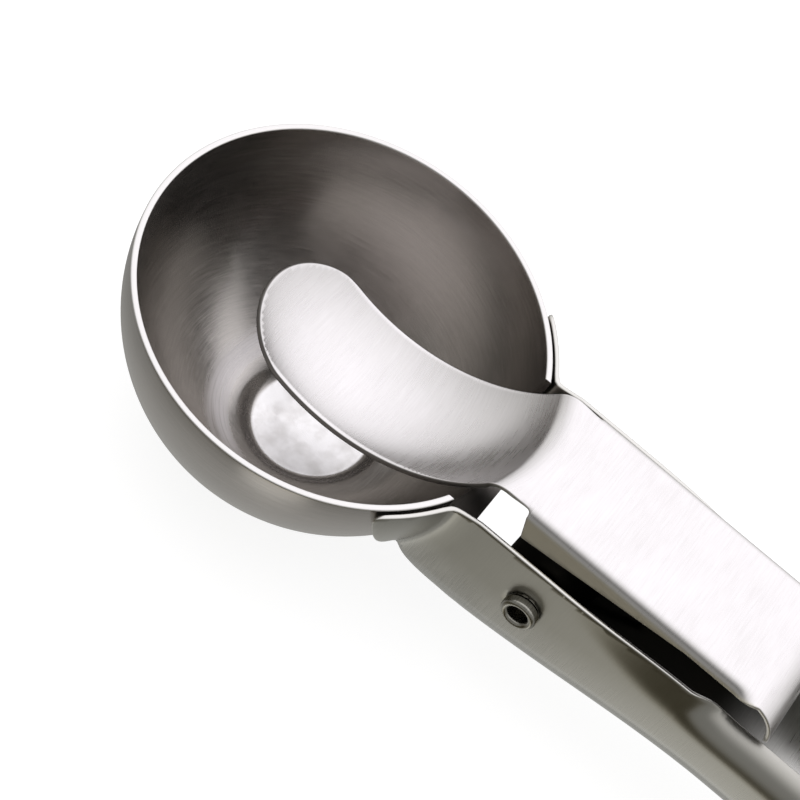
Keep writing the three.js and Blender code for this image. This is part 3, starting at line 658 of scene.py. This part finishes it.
def spun_tree(name, steel, notch=None):
    """A profile of radius along X and height along Z, turned once about its axis in even steps."""
    sizes = {"Steps": "NodeSocketInt", "Tilt": "NodeSocketVector", "Place": "NodeSocketVector"}
    tree, given = shape_tree(name, sizes)
    count = add(tree, "GeometryNodeAttributeDomainSize", {"Geometry": given["Line"]}).outputs["Point Count"]
    rounds = add(tree, "Math", {0: given["Steps"], 1: 1.0}, operation="ADD")
    grid = add(tree, "GeometryNodeMeshGrid", {"Vertices X": rounds, "Vertices Y": count})
    here = add(tree, "GeometryNodeInputPosition")
    spot = add(tree, "SeparateXYZ", {0: here}).outputs
    last = add(tree, "Math", {0: count, 1: 1.0}, operation="SUBTRACT")
    share = add(tree, "Math", {0: spot["Y"], 1: 0.5}, operation="ADD")
    index = add(tree, "Math", {0: share, 1: last, 2: 0.5}, operation="MULTIPLY_ADD")
    whole = add(tree, "Math", {0: index}, operation="FLOOR")
    turn = add(tree, "Math", {0: spot["X"], 1: 2 * math.pi}, operation="MULTIPLY")
    on_line = add(tree, "GeometryNodeSampleIndex", {
        "Geometry": given["Line"], "Value": here, "Index": whole}, data_type="FLOAT_VECTOR", domain="POINT")
    turned = add(tree, "VectorRotate", {"Vector": on_line, "Angle": turn}, rotation_type="Z_AXIS")
    wrapped = add(tree, "GeometryNodeSetPosition", {"Geometry": grid, "Position": turned})
    shape = add(tree, "GeometryNodeMergeByDistance", {"Geometry": wrapped, "Distance": 1e-6})
    if notch:
        shape = notch(tree, shape)
    set_down = add(tree, "GeometryNodeTransform", {
        "Geometry": shape, "Translation": given["Place"], "Rotation": given["Tilt"]})
    close_tree(tree, set_down, steel)
    return tree


def wire_tree(name, steel):
    """Round wire along a line."""
    tree, given = shape_tree(name, {"Wire": "NodeSocketFloat", "Sides": "NodeSocketInt"})
    path = add(tree, "GeometryNodeMeshToCurve", {"Mesh": given["Line"]})
    size = {"Resolution": given["Sides"], "Radius": given["Wire"]}
    section = add(tree, "GeometryNodeCurvePrimitiveCircle", size)
    drawn = add(tree, "GeometryNodeCurveToMesh", {"Curve": path, "Profile Curve": section, "Fill Caps": True})
    close_tree(tree, drawn, steel)
    return tree


# Bowl, rivet, washers and spring
def corner_round(inner, corner, outer, radius, steps=5):
    """Points of a round corner between two straight runs of a profile."""
    corner = np.array(corner, float)
    toward = np.array([inner, outer], float) - corner
    start, end = (corner + radius * way / np.linalg.norm(way) for way in toward)
    return quadratic(start, corner, end, steps)


def bowl_profile():
    """Half the section of the bowl: out along the base, up the outside, over the rim and down the inside."""
    flat_turn = math.asin(BASE_FLAT / BOWL_OUTER)
    turns = np.linspace(flat_turn, QUARTER, 56)
    outer = np.c_[BOWL_OUTER * np.sin(turns), -RIM_BAND - BOWL_OUTER * np.cos(turns)]
    turns = np.linspace(QUARTER, 0, 170)
    inner = np.c_[BOWL_RADIUS * np.sin(turns), -RIM_BAND - BOWL_RADIUS * np.cos(turns)]
    rim_out = corner_round((BOWL_OUTER, -1), (BOWL_OUTER, 0), (BOWL_RADIUS, 0), RIM_ROUND)
    rim_in = corner_round((BOWL_OUTER, 0), (BOWL_RADIUS, 0), (BOWL_RADIUS, -1), RIM_ROUND)
    return np.vstack([[(0, outer[0, 1])], outer, rim_out, rim_in, inner])


def foot_middle():
    x, y = FOOT_MIDDLE
    return in_frame((BOWL_X + x, y, -RIM_BAND - math.sqrt(BOWL_RADIUS ** 2 - x * x - y * y)))


def press_foot(mesh):
    """A shallow foot pressed in the bottom of the bowl, towards the handle: nearly flat, with a ring round it
    that is steeper than the bowl and then runs out into it."""
    points = np.empty(3 * len(mesh.vertices), np.float32)
    mesh.vertices.foreach_get("co", points)
    points = points.reshape(-1, 3).astype(float)
    to_middle = in_frame((BOWL_X, 0, -RIM_BAND)) - points
    reach = np.linalg.norm(to_middle, axis=1)
    far = np.linalg.norm(points - foot_middle(), axis=1) / MM
    flat = FOOT_RISE - far ** 2 / 2 * (1 / BOWL_RADIUS - 1 / FOOT_SAG)
    edge = FOOT_RISE - FOOT ** 2 / 2 * (1 / BOWL_RADIUS - 1 / FOOT_SAG)
    ring = mix(edge, FOOT_RISE, smoothstep(far, FOOT, FOOT_RING[0])) * (1 - smoothstep(far, *FOOT_RING))
    rise = np.where(far < FOOT, flat, ring) * (reach < (BOWL_RADIUS + BOWL_SHEET / 2) * MM)
    points += to_middle / reach[:, None] * rise[:, None] * MM
    mesh.vertices.foreach_set("co", points.astype(np.float32).ravel())
    mesh.update()


def bowl_notch(tree, shape):
    """Cuts the rim away where the lever passes, and folds the sheet below out into a straight lip."""
    cutting = {"operation": "DIFFERENCE", "solver": "EXACT"}
    half = CHANNEL_HALF - SEAT_GAP
    reach = 2 * BOWL_OUTER
    block = add(tree, "GeometryNodeMeshCube", {"Size": (reach * MM, 2 * half * MM, reach * MM)})
    cutter = add(tree, "GeometryNodeTransform", {
        "Geometry": block, "Translation": (reach / 2 * MM, 0, (reach / 2 - NOTCH_DEPTH) * MM)})
    cut = add(tree, "GeometryNodeMeshBoolean", {"Mesh 1": shape, "Mesh 2": cutter}, **cutting)
    lip_edge = math.sqrt(BOWL_RADIUS ** 2 - (NOTCH_DEPTH - RIM_BAND) ** 2) + LIP_REACH
    strip = add(tree, "GeometryNodeMeshCube", {"Size": (lip_edge * MM, 2 * half * MM, BOWL_SHEET * MM)})
    laid = add(tree, "GeometryNodeTransform", {
        "Geometry": strip, "Translation": (lip_edge / 2 * MM, 0, (-NOTCH_DEPTH - BOWL_SHEET / 2) * MM)})
    ball = add(tree, "GeometryNodeMeshUVSphere", {
        "Segments": BALL_STEPS, "Rings": BALL_STEPS // 2, "Radius": (BOWL_RADIUS + BOWL_SHEET / 2) * MM})
    hollow = add(tree, "GeometryNodeTransform", {"Geometry": ball, "Translation": (0, 0, -RIM_BAND * MM)})
    lip = add(tree, "GeometryNodeMeshBoolean", {"Mesh 1": laid, "Mesh 2": hollow}, **cutting)
    return add(tree, "GeometryNodeMeshBoolean", {"Mesh 2": [cut, lip]}, operation="UNION", solver="EXACT")


def rivet_profile():
    """Half-tubular rivet: the bottom of its hole, the rolled-over end, the shank and a low round head."""
    far_face = HANDLE_HALF + SEAT_GAP
    near_face = -far_face
    near_end = near_face - RIVET_ROLL_HEIGHT
    roll = (RIVET_ROLL - RIVET_HOLE) / 2
    turn = np.linspace(math.pi, 0, 24)
    rolled = np.c_[RIVET_HOLE + roll + roll * np.cos(turn), near_end + roll - roll * np.sin(turn)]
    turn = np.linspace(0, QUARTER, 16)
    head = np.c_[RIVET_HEAD * np.cos(turn), far_face + RIVET_HEAD_HEIGHT * np.sin(turn)]
    bottom = near_end + RIVET_HOLE_DEPTH
    drill = [(0, bottom + DRILL_POINT), (RIVET_HOLE - HEAD_ROUND, bottom), (RIVET_HOLE, bottom - HEAD_ROUND)]
    under_roll = corner_round((RIVET_ROLL, near_end), (RIVET_ROLL, near_face), (RIVET, near_face), ROLL_ROUND)
    brim = (RIVET_HEAD, far_face)
    under_head = corner_round((RIVET, far_face), brim, (RIVET_HEAD, far_face + 1), HEAD_ROUND)
    shank = [(RIVET, near_face), (RIVET, far_face)]
    return np.vstack([drill, rolled, under_roll, shank, under_head, head[2:-1], [(0, head[-1, 1])]])


def washer_profile(side):
    near = LUG_HALF + SEAT_GAP
    far = near + WASHER_THICKNESS
    bore = RIVET + PIVOT_CLEARANCE
    corners = [(bore, near), (WASHER, near), (WASHER, far), (bore, far)]
    soft = [corner_round(corners[k - 1], corners[k], corners[(k + 1) % 4], WASHER_ROUND) for k in range(4)]
    return np.vstack([*soft, soft[0][:1]]) * (1, side)


def standing(profile):
    """A profile of radius and height as points that a spin takes, in metres."""
    return np.c_[profile[:, 0], np.zeros(len(profile)), profile[:, 1]] * MM


def spring_path():
    """Middle of the wire: a leg under the plate, the coil round the rivet, and a leg on the floor."""
    wire = WIRE / 2
    leg_x = PIVOT_X + LEG_LENGTH
    upper = PLATE_TOP - SHEET - SEAT_GAP - wire
    lower = float(handle_floor(leg_x)) + SHEET + SEAT_GAP + wire
    aim = [math.atan2(height - PIVOT_Z, LEG_LENGTH) for height in (upper, lower)]
    leave = [math.acos(COIL_RADIUS / math.hypot(LEG_LENGTH, height - PIVOT_Z)) for height in (upper, lower)]
    start, finish = aim[0] + leave[0], aim[1] - leave[1] - 2 * math.pi * (COIL_TURNS - 1)
    length = COIL_PITCH * (start - finish) / (2 * math.pi)
    turn = np.linspace(start, finish, 40 * COIL_TURNS)
    coil = np.c_[PIVOT_X + COIL_RADIUS * np.cos(turn), np.linspace(-length / 2, length / 2, len(turn)),
                 PIVOT_Z + COIL_RADIUS * np.sin(turn)]
    share = np.linspace(0, 1, 12)[:-1, None]
    leg_up = mix(np.array([leg_x, -length / 2, upper]), coil[0], share)
    leg_down = mix(np.array([leg_x, length / 2, lower]), coil[-1], share)[::-1]
    return in_frame(np.vstack([leg_up, coil, leg_down]))


# Steel
def linear(code):
    """sRGB hex colour as linear values."""
    parts = [int(code[k:k + 2], 16) / 255 for k in (0, 2, 4)]
    return (*(c / 12.92 if c <= 0.04045 else ((c + 0.055) / 1.055) ** 2.4 for c in parts), 1.0)


# Brush marks are about 0.05 mm wide on the real steel; they are drawn coarser so that they show
# Millimetres across and along the marks of each pattern, and how far it goes into tone and relief
GRAIN = (0.22, 4.5)
SCRATCH = (0.3, 9.0)
BLOTCH = (7.0, 9.0)
GRAIN_SHARE = 0.55
TONES = (0.32, 0.68)
SCRATCHED = (0.68, 0.76)
SCRATCH_DEPTH = 0.3
RELIEF = 4e-6


def brushed_stainless(name, marks, tangent, pale, dark, satin, stretch=0.0, turn=0.0, finishes=()):
    """Stainless steel with brush marks: marks gives millimetres across and along them, satin the roughness,
    stretch and turn how far and which way reflections are drawn out, and each finish a place with a colour
    and roughness of its own."""
    steel = bpy.data.materials.new(name)
    steel.use_nodes = True
    tree = steel.node_tree
    run = marks(tree)

    def pattern(size, detail):
        width, length = size
        scale = (1 / width, 1 / length, 1 / length)
        scaled = add(tree, "VectorMath", {0: run, 1: scale}, operation="MULTIPLY")
        return add(tree, "TexNoise", {"Vector": scaled, "Scale": 1.0, "Detail": detail, "Roughness": 0.6})

    grain, blotch = pattern(GRAIN, 2.0), pattern(BLOTCH, 3.0)
    tone = add(tree, "Math", {0: grain, 1: GRAIN_SHARE}, operation="MULTIPLY")
    tone = add(tree, "Math", {0: blotch, 1: 1 - GRAIN_SHARE, 2: tone}, operation="MULTIPLY_ADD")
    share = cover(tree, (tone, TONES), fade="LINEAR")
    colour = add(tree, "Mix", {0: share, 6: linear(dark), 7: linear(pale)}, data_type="RGBA").outputs[2]
    rough = add(tree, "Mix", {0: share, 2: satin[0], 3: satin[1]})
    for where, own_colour, own_rough in finishes:
        share = where(tree)
        colour = add(tree, "Mix", {0: share, 6: colour, 7: linear(own_colour)}, data_type="RGBA").outputs[2]
        rough = add(tree, "Mix", {0: share, 2: rough, 3: own_rough})
    scratch = cover(tree, (pattern(SCRATCH, 1.0), SCRATCHED), fade="LINEAR")
    height = add(tree, "Math", {0: scratch, 1: -SCRATCH_DEPTH, 2: grain}, operation="MULTIPLY_ADD")
    bump = add(tree, "Bump", {"Distance": RELIEF, "Height": height})
    feed(tree, tree.nodes["Principled BSDF"], {
        "Metallic": 1.0, "Anisotropic": stretch, "Anisotropic Rotation": turn, "Base Color": colour,
        "Roughness": rough, "Normal": bump, "Tangent": tangent(tree)})
    return steel


def from_bowl_axis(tree):
    place = add(tree, "TexCoord").outputs["Object"]
    return add(tree, "VectorMath", {0: place, 1: place_of(BOWL_X, -RIM_BAND)}, operation="SUBTRACT")


def round_the_bowl(tree):
    """Millimetres up the bowl from its bottom, and round it."""
    place = from_bowl_axis(tree)
    level = add(tree, "VectorMath", {0: place, 1: (1, 1, 0)}, operation="MULTIPLY")
    away = add(tree, "VectorMath", {0: level}, operation="LENGTH").outputs["Value"]
    below = add(tree, "VectorMath", {0: place, 1: (0, 0, -1)}, operation="DOT_PRODUCT").outputs["Value"]
    climb = add(tree, "Math", {0: away, 1: below}, operation="ARCTAN2")
    up = add(tree, "Math", {0: climb, 1: BOWL_RADIUS}, operation="MULTIPLY")
    heading = add(tree, "VectorMath", {0: level}, operation="NORMALIZE")
    scaled = add(tree, "VectorMath", {0: heading, "Scale": BOWL_RADIUS}, operation="SCALE")
    around = add(tree, "SeparateXYZ", {0: scaled}).outputs
    return add(tree, "CombineXYZ", {"X": up, "Y": around["X"], "Z": around["Y"]})


def bowl_tangent(tree):
    around = add(tree, "VectorMath", {0: (0, 0, 1), 1: from_bowl_axis(tree)}, operation="CROSS_PRODUCT")
    return add(tree, "VectorMath", {0: around}, operation="NORMALIZE")


def across_the_sheet(tree):
    """Millimetres on the flat sheet, with the brush marks along its second direction."""
    flat = add(tree, "UVMap", uv_map="flat_sheet")
    return add(tree, "VectorMath", {0: flat, "Scale": 1 / MM}, operation="SCALE")


def sheet_tangent(tree):
    return add(tree, "Tangent", direction_type="UV_MAP", uv_map="flat_sheet")


def along_the_sheet(tree):
    return add(tree, "SeparateXYZ", {0: across_the_sheet(tree)}).outputs["X"]


def from_middle_line(tree):
    sideways = add(tree, "SeparateXYZ", {0: across_the_sheet(tree)}).outputs["Y"]
    return add(tree, "Math", {0: sideways}, operation="ABSOLUTE")


def on_the_pivot(tree):
    """Millimetres out from the pivot's axis and along it."""
    place = add(tree, "TexCoord").outputs["Object"]
    return add(tree, "VectorMath", {0: place, "Scale": 1 / MM}, operation="SCALE")


def pivot_tangent(tree):
    return add(tree, "Tangent", direction_type="RADIAL", axis="Y")


# Where each finish and each painted light or shade lies, in millimetres on the sheet or from the foot, and
# the most that it covers
CUT_EDGES = 0.7
DULL_SHADED_WALLS = (14.0, 20.0)
DULL_SHADED_WALLS_MOST = 0.8
RUBBED_LIPS = (17.5, 20.0)
RUBBED_LIPS_MOST = 0.85
INSIDE_DARK = (22.0, 14.0)
INSIDE_DARK_RUN = (50.0, 36.0)
DULL_LIT_FLANGE = (FLANGE_FLAT - 0.5, FLANGE_FLAT)
LEVER_DARK = (FLANGE_END - FLANGE_RUN_OUT, FLANGE_THIN)
FOOT_HIGHLIGHT = (FOOT + 0.25, FOOT - 0.15)
HIGHLIGHT_PATCH = 2.2
HIGHLIGHT_PATCHES = (0.35, 0.6)
HIGHLIGHT_LEAST = 0.6
RING_STARTS = (FOOT, FOOT + 0.6)
RING_ENDS = (FOOT_RING[0] + 1.2, FOOT_RING[0] - 0.8)
RING_MOST = 0.5
SCOUR_MARK = 0.35
SCOUR_MARKS = (0.25, 0.6)
SCOUR_WAY = (-0.95, -0.3, 0.0)
SCOUR_SIDE = (0.35, 0.9)
SCOUR_STARTS = (FOOT_RING[0] + 0.7, FOOT_RING[0] + 2)
SCOUR_ENDS = (FOOT_RING[1] + 1.6, FOOT_RING[1] - 1)
RIM_TOP = (-0.25, -0.1)


def cut_edges(tree):
    cut = add(tree, "Attribute", attribute_name="cut_edge").outputs["Fac"]
    return add(tree, "Math", {0: cut, 1: CUT_EDGES}, operation="MULTIPLY")


def dull_walls_painted_shade(tree):
    """The upper part of the handle's walls, a little duller, and darker with painted shade."""
    return cover(tree, (from_middle_line(tree), DULL_SHADED_WALLS), share=DULL_SHADED_WALLS_MOST, fade="LINEAR")


def rubbed_lips(tree):
    """The rolled lips of the grip, rubbed matt."""
    lips = (from_middle_line(tree), RUBBED_LIPS)
    return cover(tree, lips, (along_the_sheet(tree), ROLL_RUN), share=RUBBED_LIPS_MOST)


def handle_inside_painted_shade(tree):
    """Painted shade on the inside of the folded sheet under the lever, darker towards its floor, which is
    also duller.
    """
    inner = add(tree, "Attribute", attribute_name="inner_face").outputs["Fac"]
    floor = (from_middle_line(tree), INSIDE_DARK)
    return cover(tree, floor, (along_the_sheet(tree), INSIDE_DARK_RUN), share=inner)


def tongue_edges_painted_shade(tree):
    """The cut edges of the tongue, painted dark as painted shade."""
    cut = add(tree, "Attribute", attribute_name="cut_edge").outputs["Fac"]
    return cover(tree, (along_the_sheet(tree), (BEND_END, DISH_END)), share=cut, fade="LINEAR")


def flanges_painted_light(tree):
    """The folded-down sides of the lever, left dull by the press, and painted lighter as a painted reflection
    of pale light.
    """
    return cover(tree, (from_middle_line(tree), DULL_LIT_FLANGE), fade="LINEAR")


def lever_inside_painted_shade(tree):
    """Painted shade on what lies in the handle: the underside of the plate, and the lugs."""
    inner = add(tree, "Attribute", attribute_name="inner_face").outputs["Fac"]
    along = along_the_sheet(tree)
    return cover(tree, (along, (BEND_END, PLATE_START)), (along, LEVER_DARK), share=inner, fade="LINEAR")


def from_foot(tree):
    """Millimetres from the middle of the foot."""
    place = add(tree, "TexCoord").outputs["Object"]
    far = add(tree, "VectorMath", {0: place, 1: Vector(foot_middle())}, operation="DISTANCE").outputs["Value"]
    return add(tree, "Math", {0: far, 1: MM}, operation="DIVIDE")


def foot_painted_highlight(tree):
    """Painted highlight on the flat of the foot, brighter in patches."""
    place = add(tree, "TexCoord").outputs["Object"]
    patches = add(tree, "TexNoise", {"Vector": place, "Scale": 1 / (HIGHLIGHT_PATCH * MM), "Detail": 4.0})
    bright = cover(tree, (patches, HIGHLIGHT_PATCHES), share=1 - HIGHLIGHT_LEAST, fade="LINEAR")
    bright = add(tree, "Math", {0: bright, 1: HIGHLIGHT_LEAST}, operation="ADD")
    return cover(tree, (from_foot(tree), FOOT_HIGHLIGHT), share=bright, fade="LINEAR")


def painted_dark_ring(tree):
    """Painted dark reflection on the steeper ring round the foot."""
    far = from_foot(tree)
    begun = cover(tree, (far, RING_STARTS), share=RING_MOST, fade="LINEAR")
    return cover(tree, (far, RING_ENDS), share=begun)


def scour_marks_painted_bright(tree):
    """Matt marks that scouring leaves round the foot, on its side away from the handle, painted brighter than
    the steel as a painted highlight.
    """
    place = add(tree, "TexCoord").outputs["Object"]
    away = add(tree, "VectorMath", {0: place, 1: Vector(foot_middle())}, operation="SUBTRACT")
    toward = add(tree, "VectorMath", {0: away}, operation="NORMALIZE")
    front = add(tree, "VectorMath", {0: toward, 1: SCOUR_WAY}, operation="DOT_PRODUCT").outputs["Value"]
    heading = add(tree, "SeparateXYZ", {0: toward}).outputs
    far = from_foot(tree)
    apart = add(tree, "Math", {0: far, 1: SCOUR_MARK}, operation="DIVIDE")
    arcs = add(tree, "CombineXYZ", {"X": apart, "Y": heading["X"], "Z": heading["Y"]})
    marks = add(tree, "TexNoise", {"Vector": arcs, "Scale": 1.0, "Detail": 2.0})
    marks = cover(tree, (marks, SCOUR_MARKS), fade="LINEAR")
    return cover(tree, (far, SCOUR_STARTS), (far, SCOUR_ENDS), (front, SCOUR_SIDE), share=marks)


def rim_ground_and_painted_bright(tree):
    """The cut edge of the bowl, ground bright and painted brighter still as a painted highlight."""
    place = add(tree, "TexCoord").outputs["Object"]
    height = add(tree, "SeparateXYZ", {0: place}).outputs["Z"]
    start, full = (float(in_frame((0, 0, level))[2]) for level in RIM_TOP)
    return cover(tree, (height, (start, full)), fade="LINEAR")


# Spun stainless steel: satin rings round the bowl, which draw reflections out into fans from its middle
# Painted light on the bowl: a highlight on the foot, a dark reflection in a ring round it, brighter scour
# marks past it and part of the rim's brightness
bowl_steel = brushed_stainless(
    "spun_stainless", round_the_bowl, bowl_tangent, pale="bcb7b3", dark="a8a4a0", satin=(0.19, 0.27),
    stretch=0.6, turn=0.25, finishes=[
        (scour_marks_painted_bright, "e4e0e0", 0.5), (painted_dark_ring, "3c3937", 0.3), (foot_painted_highlight, "e2e0e0", 0.22),
        (rim_ground_and_painted_bright, "d9d7d5", 0.3)])
# Brushed stainless sheet: a grey satin with marks across it, mottled by handling
# Painted shade darkens its upper walls and its inside under the lever
handle_steel = brushed_stainless(
    "brushed_stainless_sheet", across_the_sheet, sheet_tangent, pale="c5c4c0", dark="acaba7",
    satin=(0.21, 0.33), stretch=0.5, finishes=[
        (dull_walls_painted_shade, "a5a39b", 0.3), (rubbed_lips, "bab8b2", 0.5), (handle_inside_painted_shade, "24231f", 0.6),
        (cut_edges, "dedcd8", 0.3)])
# The lever's sheet is brighter, with fine marks from side to side
# Painted light on the lever: lighter flanges; painted shade on its underside, its lugs and the tongue's cut
# edges
lever_steel = brushed_stainless(
    "bright_stainless_sheet", across_the_sheet, sheet_tangent, pale="dfdcdc", dark="d0cdcc",
    satin=(0.24, 0.34), stretch=0.5, finishes=[
        (flanges_painted_light, "f0ebdd", 0.78), (lever_inside_painted_shade, "2c2a27", 0.5), (cut_edges, "dedcd8", 0.3),
        (tongue_edges_painted_shade, "7a7774", 0.4)])
# Rivet steel: tumbled smooth, a little darker than the sheets
pivot_steel = brushed_stainless(
    "rivet_steel", on_the_pivot, pivot_tangent, pale="b9b7b0", dark="94928b", satin=(0.2, 0.3))
# Spring wire: drawn, dark and smooth
spring_steel = brushed_stainless(
    "drawn_spring_wire", on_the_pivot, pivot_tangent, pale="8f8d86", dark="6f6d67", satin=(0.25, 0.35))


def dress(piece, body, slot, *nodes):
    if nodes:
        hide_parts(*nodes)
    if body:
        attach(piece, body)


bowl = grown("bowl_shell", spun_tree("spun_bowl", bowl_steel, bowl_notch), standing(bowl_profile()),
             {"Steps": BOWL_STEPS, "Place": place_of(BOWL_X, 0)})
press_foot(bowl.data)
dress(bowl, "scoop_body", "bowl_steel", "bowl")

handle = build_handle()
handle.data.materials.append(handle_steel)
dress(handle, "scoop_body", "handle_steel", "handle")

lever = build_lever()
lever.data.materials.append(lever_steel)
dress(lever, "thumb_lever", "lever_steel", "lever")
for name, side in (("pivot_lug_near", -1), ("pivot_lug_far", 1)):
    lug = build_lug(name, side)
    lug.data.materials.append(lever_steel)
    dress(lug, "thumb_lever", "lever_steel")

turned = spun_tree("turned_on_the_pivot", pivot_steel)
on_pivot = {"Steps": PIVOT_STEPS, "Tilt": (-QUARTER, 0.0, 0.0), "Place": place_of(PIVOT_X, PIVOT_Z)}
for name, profile, node in (("tubular_rivet", rivet_profile(), "pivot_rivet"),
                            ("washer_near", washer_profile(-1), "pivot_washer_near"),
                            ("washer_far", washer_profile(1), "pivot_washer_far")):
    dress(grown(name, turned, standing(profile), on_pivot), "scoop_body", "pivot_steel", node)

spring = grown("torsion_spring", wire_tree("drawn_wire", spring_steel), spring_path(),
               {"Wire": WIRE / 2 * MM, "Sides": WIRE_SIDES})
dress(spring, None, "spring_steel", "return_spring")
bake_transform(spring)

# Floor and light
FLOOR_REACH = 4.0
FLOOR_SHINE = 0.85
floor_mesh = bpy.data.meshes.new("floor")
corners = [(x * FLOOR_REACH, y * FLOOR_REACH, 0) for x, y in ((-1, -1), (1, -1), (1, 1), (-1, 1))]
floor_mesh.from_pydata(corners, [], [(0, 1, 2, 3)])
floor = set_out("floor", floor_mesh)
floor_paint = bpy.data.materials.new("pale_floor")
floor_paint.use_nodes = True
feed(floor_paint.node_tree, floor_paint.node_tree.nodes["Principled BSDF"], {
    "Base Color": linear("a0a0a0"), "Roughness": 1.0, "Emission Color": linear("ffffff"),
    "Emission Strength": FLOOR_SHINE})
floor_mesh.materials.append(floor_paint)
# The steel mirrors the dome's grey lower half in place of the floor, so that its sides keep their tone
floor.visible_glossy = False


def cone(wide, narrow):
    """A card's span: cosines of the angles from its middle at which it starts and is full."""
    return math.cos(math.radians(wide)), math.cos(math.radians(narrow))


LIGHT_WAY = Vector((0.06, 0.64, 0.77)).normalized()
LIGHT_EDGE = (0.03, 1.0)
LIGHT = 1.55
SURROUND = 0.335
FLOOR_GLOW = 0.2
FLOOR_GLOW_EDGE = (-0.76, -0.95)
BAND_LOW = (-0.87, -0.55)
BAND_HIGH = (-0.04, -0.3)
BAND_SIDE = (-0.2, -0.6)
BAND_DARK = 0.8
# A dark card in front of the scoop, a pale one low at the grip's side and one past the bowl
CARDS = (((0.04, -0.6, 0.8), cone(26, 12), -0.185), ((0.26, -0.53, -0.8), cone(15, 6), 0.65),
         ((-0.93, 0.36, -0.05), cone(35, 12), 0.25))

world = bpy.data.worlds.new("studio")
world.use_nodes = True
sky = world.node_tree
sky.nodes.clear()
way = add(sky, "TexCoord").outputs["Generated"]

# A pale ceiling that is brightest behind the scoop, over a grey surround with a glow from straight below
behind = add(sky, "VectorMath", {0: way, 1: LIGHT_WAY}, operation="DOT_PRODUCT").outputs["Value"]
light = cover(sky, (behind, LIGHT_EDGE), fade="LINEAR")
strength = add(sky, "Math", {0: light, 1: LIGHT - SURROUND, 2: SURROUND}, operation="MULTIPLY_ADD")
level = add(sky, "SeparateXYZ", {0: way}).outputs
below = cover(sky, (level["Z"], FLOOR_GLOW_EDGE))
strength = add(sky, "Math", {0: below, 1: FLOOR_GLOW, 2: strength}, operation="MULTIPLY_ADD")
# A dark olive band below eye height in front of the scoop
band = cover(sky, (level["Z"], BAND_LOW), (level["Z"], BAND_HIGH), (level["Y"], BAND_SIDE))
left = add(sky, "Math", {0: band, 1: -BAND_DARK, 2: 1.0}, operation="MULTIPLY_ADD")
strength = add(sky, "Math", {0: strength, 1: left}, operation="MULTIPLY")
for toward, edge, change in CARDS:
    near = add(sky, "VectorMath", {0: way, 1: Vector(toward).normalized()}, operation="DOT_PRODUCT")
    card = cover(sky, (near.outputs["Value"], edge))
    strength = add(sky, "Math", {0: card, 1: change, 2: strength}, operation="MULTIPLY_ADD")
tint = add(sky, "Mix", {0: light, 6: linear("f9f9f5"), 7: linear("fcfbff")}, data_type="RGBA")
tint = add(sky, "Mix", {0: band, 6: tint.outputs[2], 7: linear("fff0c4")}, data_type="RGBA")
dome = add(sky, "Background", {"Color": tint.outputs[2], "Strength": strength})
plain = add(sky, "Background", {"Color": linear("ffffff")})
seen = add(sky, "MixShader", {0: add(sky, "LightPath").outputs["Is Camera Ray"], 1: dome, 2: plain})
add(sky, "OutputWorld", {"Surface": seen})
scene.world = world
scene.view_settings.view_transform = "Standard"

# The camera stands where the photograph's did, found from the ellipse of the rim
CAMERA_ROWS = np.array([[0.767, 0.533, 0.358], [0.641, -0.600, -0.480], [-0.041, 0.597, -0.801]])
CAMERA_OFFSET = np.array([-6.0, -10.4, 287.3])
FOCAL = 2500.0
IMAGE = 800.0
SENSOR = 36.0
# Its rows are rounded, so the nearest true turn is taken
turn, _, tilt = np.linalg.svd(CAMERA_ROWS)
rows = turn @ tilt
eye = -rows.T @ CAMERA_OFFSET + (BOWL_X, 0, 0)
camera_data = bpy.data.cameras.new("camera")
camera_data.sensor_width = SENSOR
camera_data.lens = FOCAL / IMAGE * SENSOR
camera = set_out("camera", camera_data)
pose = Matrix(np.c_[rows[0], -rows[1], -rows[2]].tolist()).to_4x4()
pose.translation = Vector(in_frame(eye))
camera.matrix_world = pose
scene.camera = camera
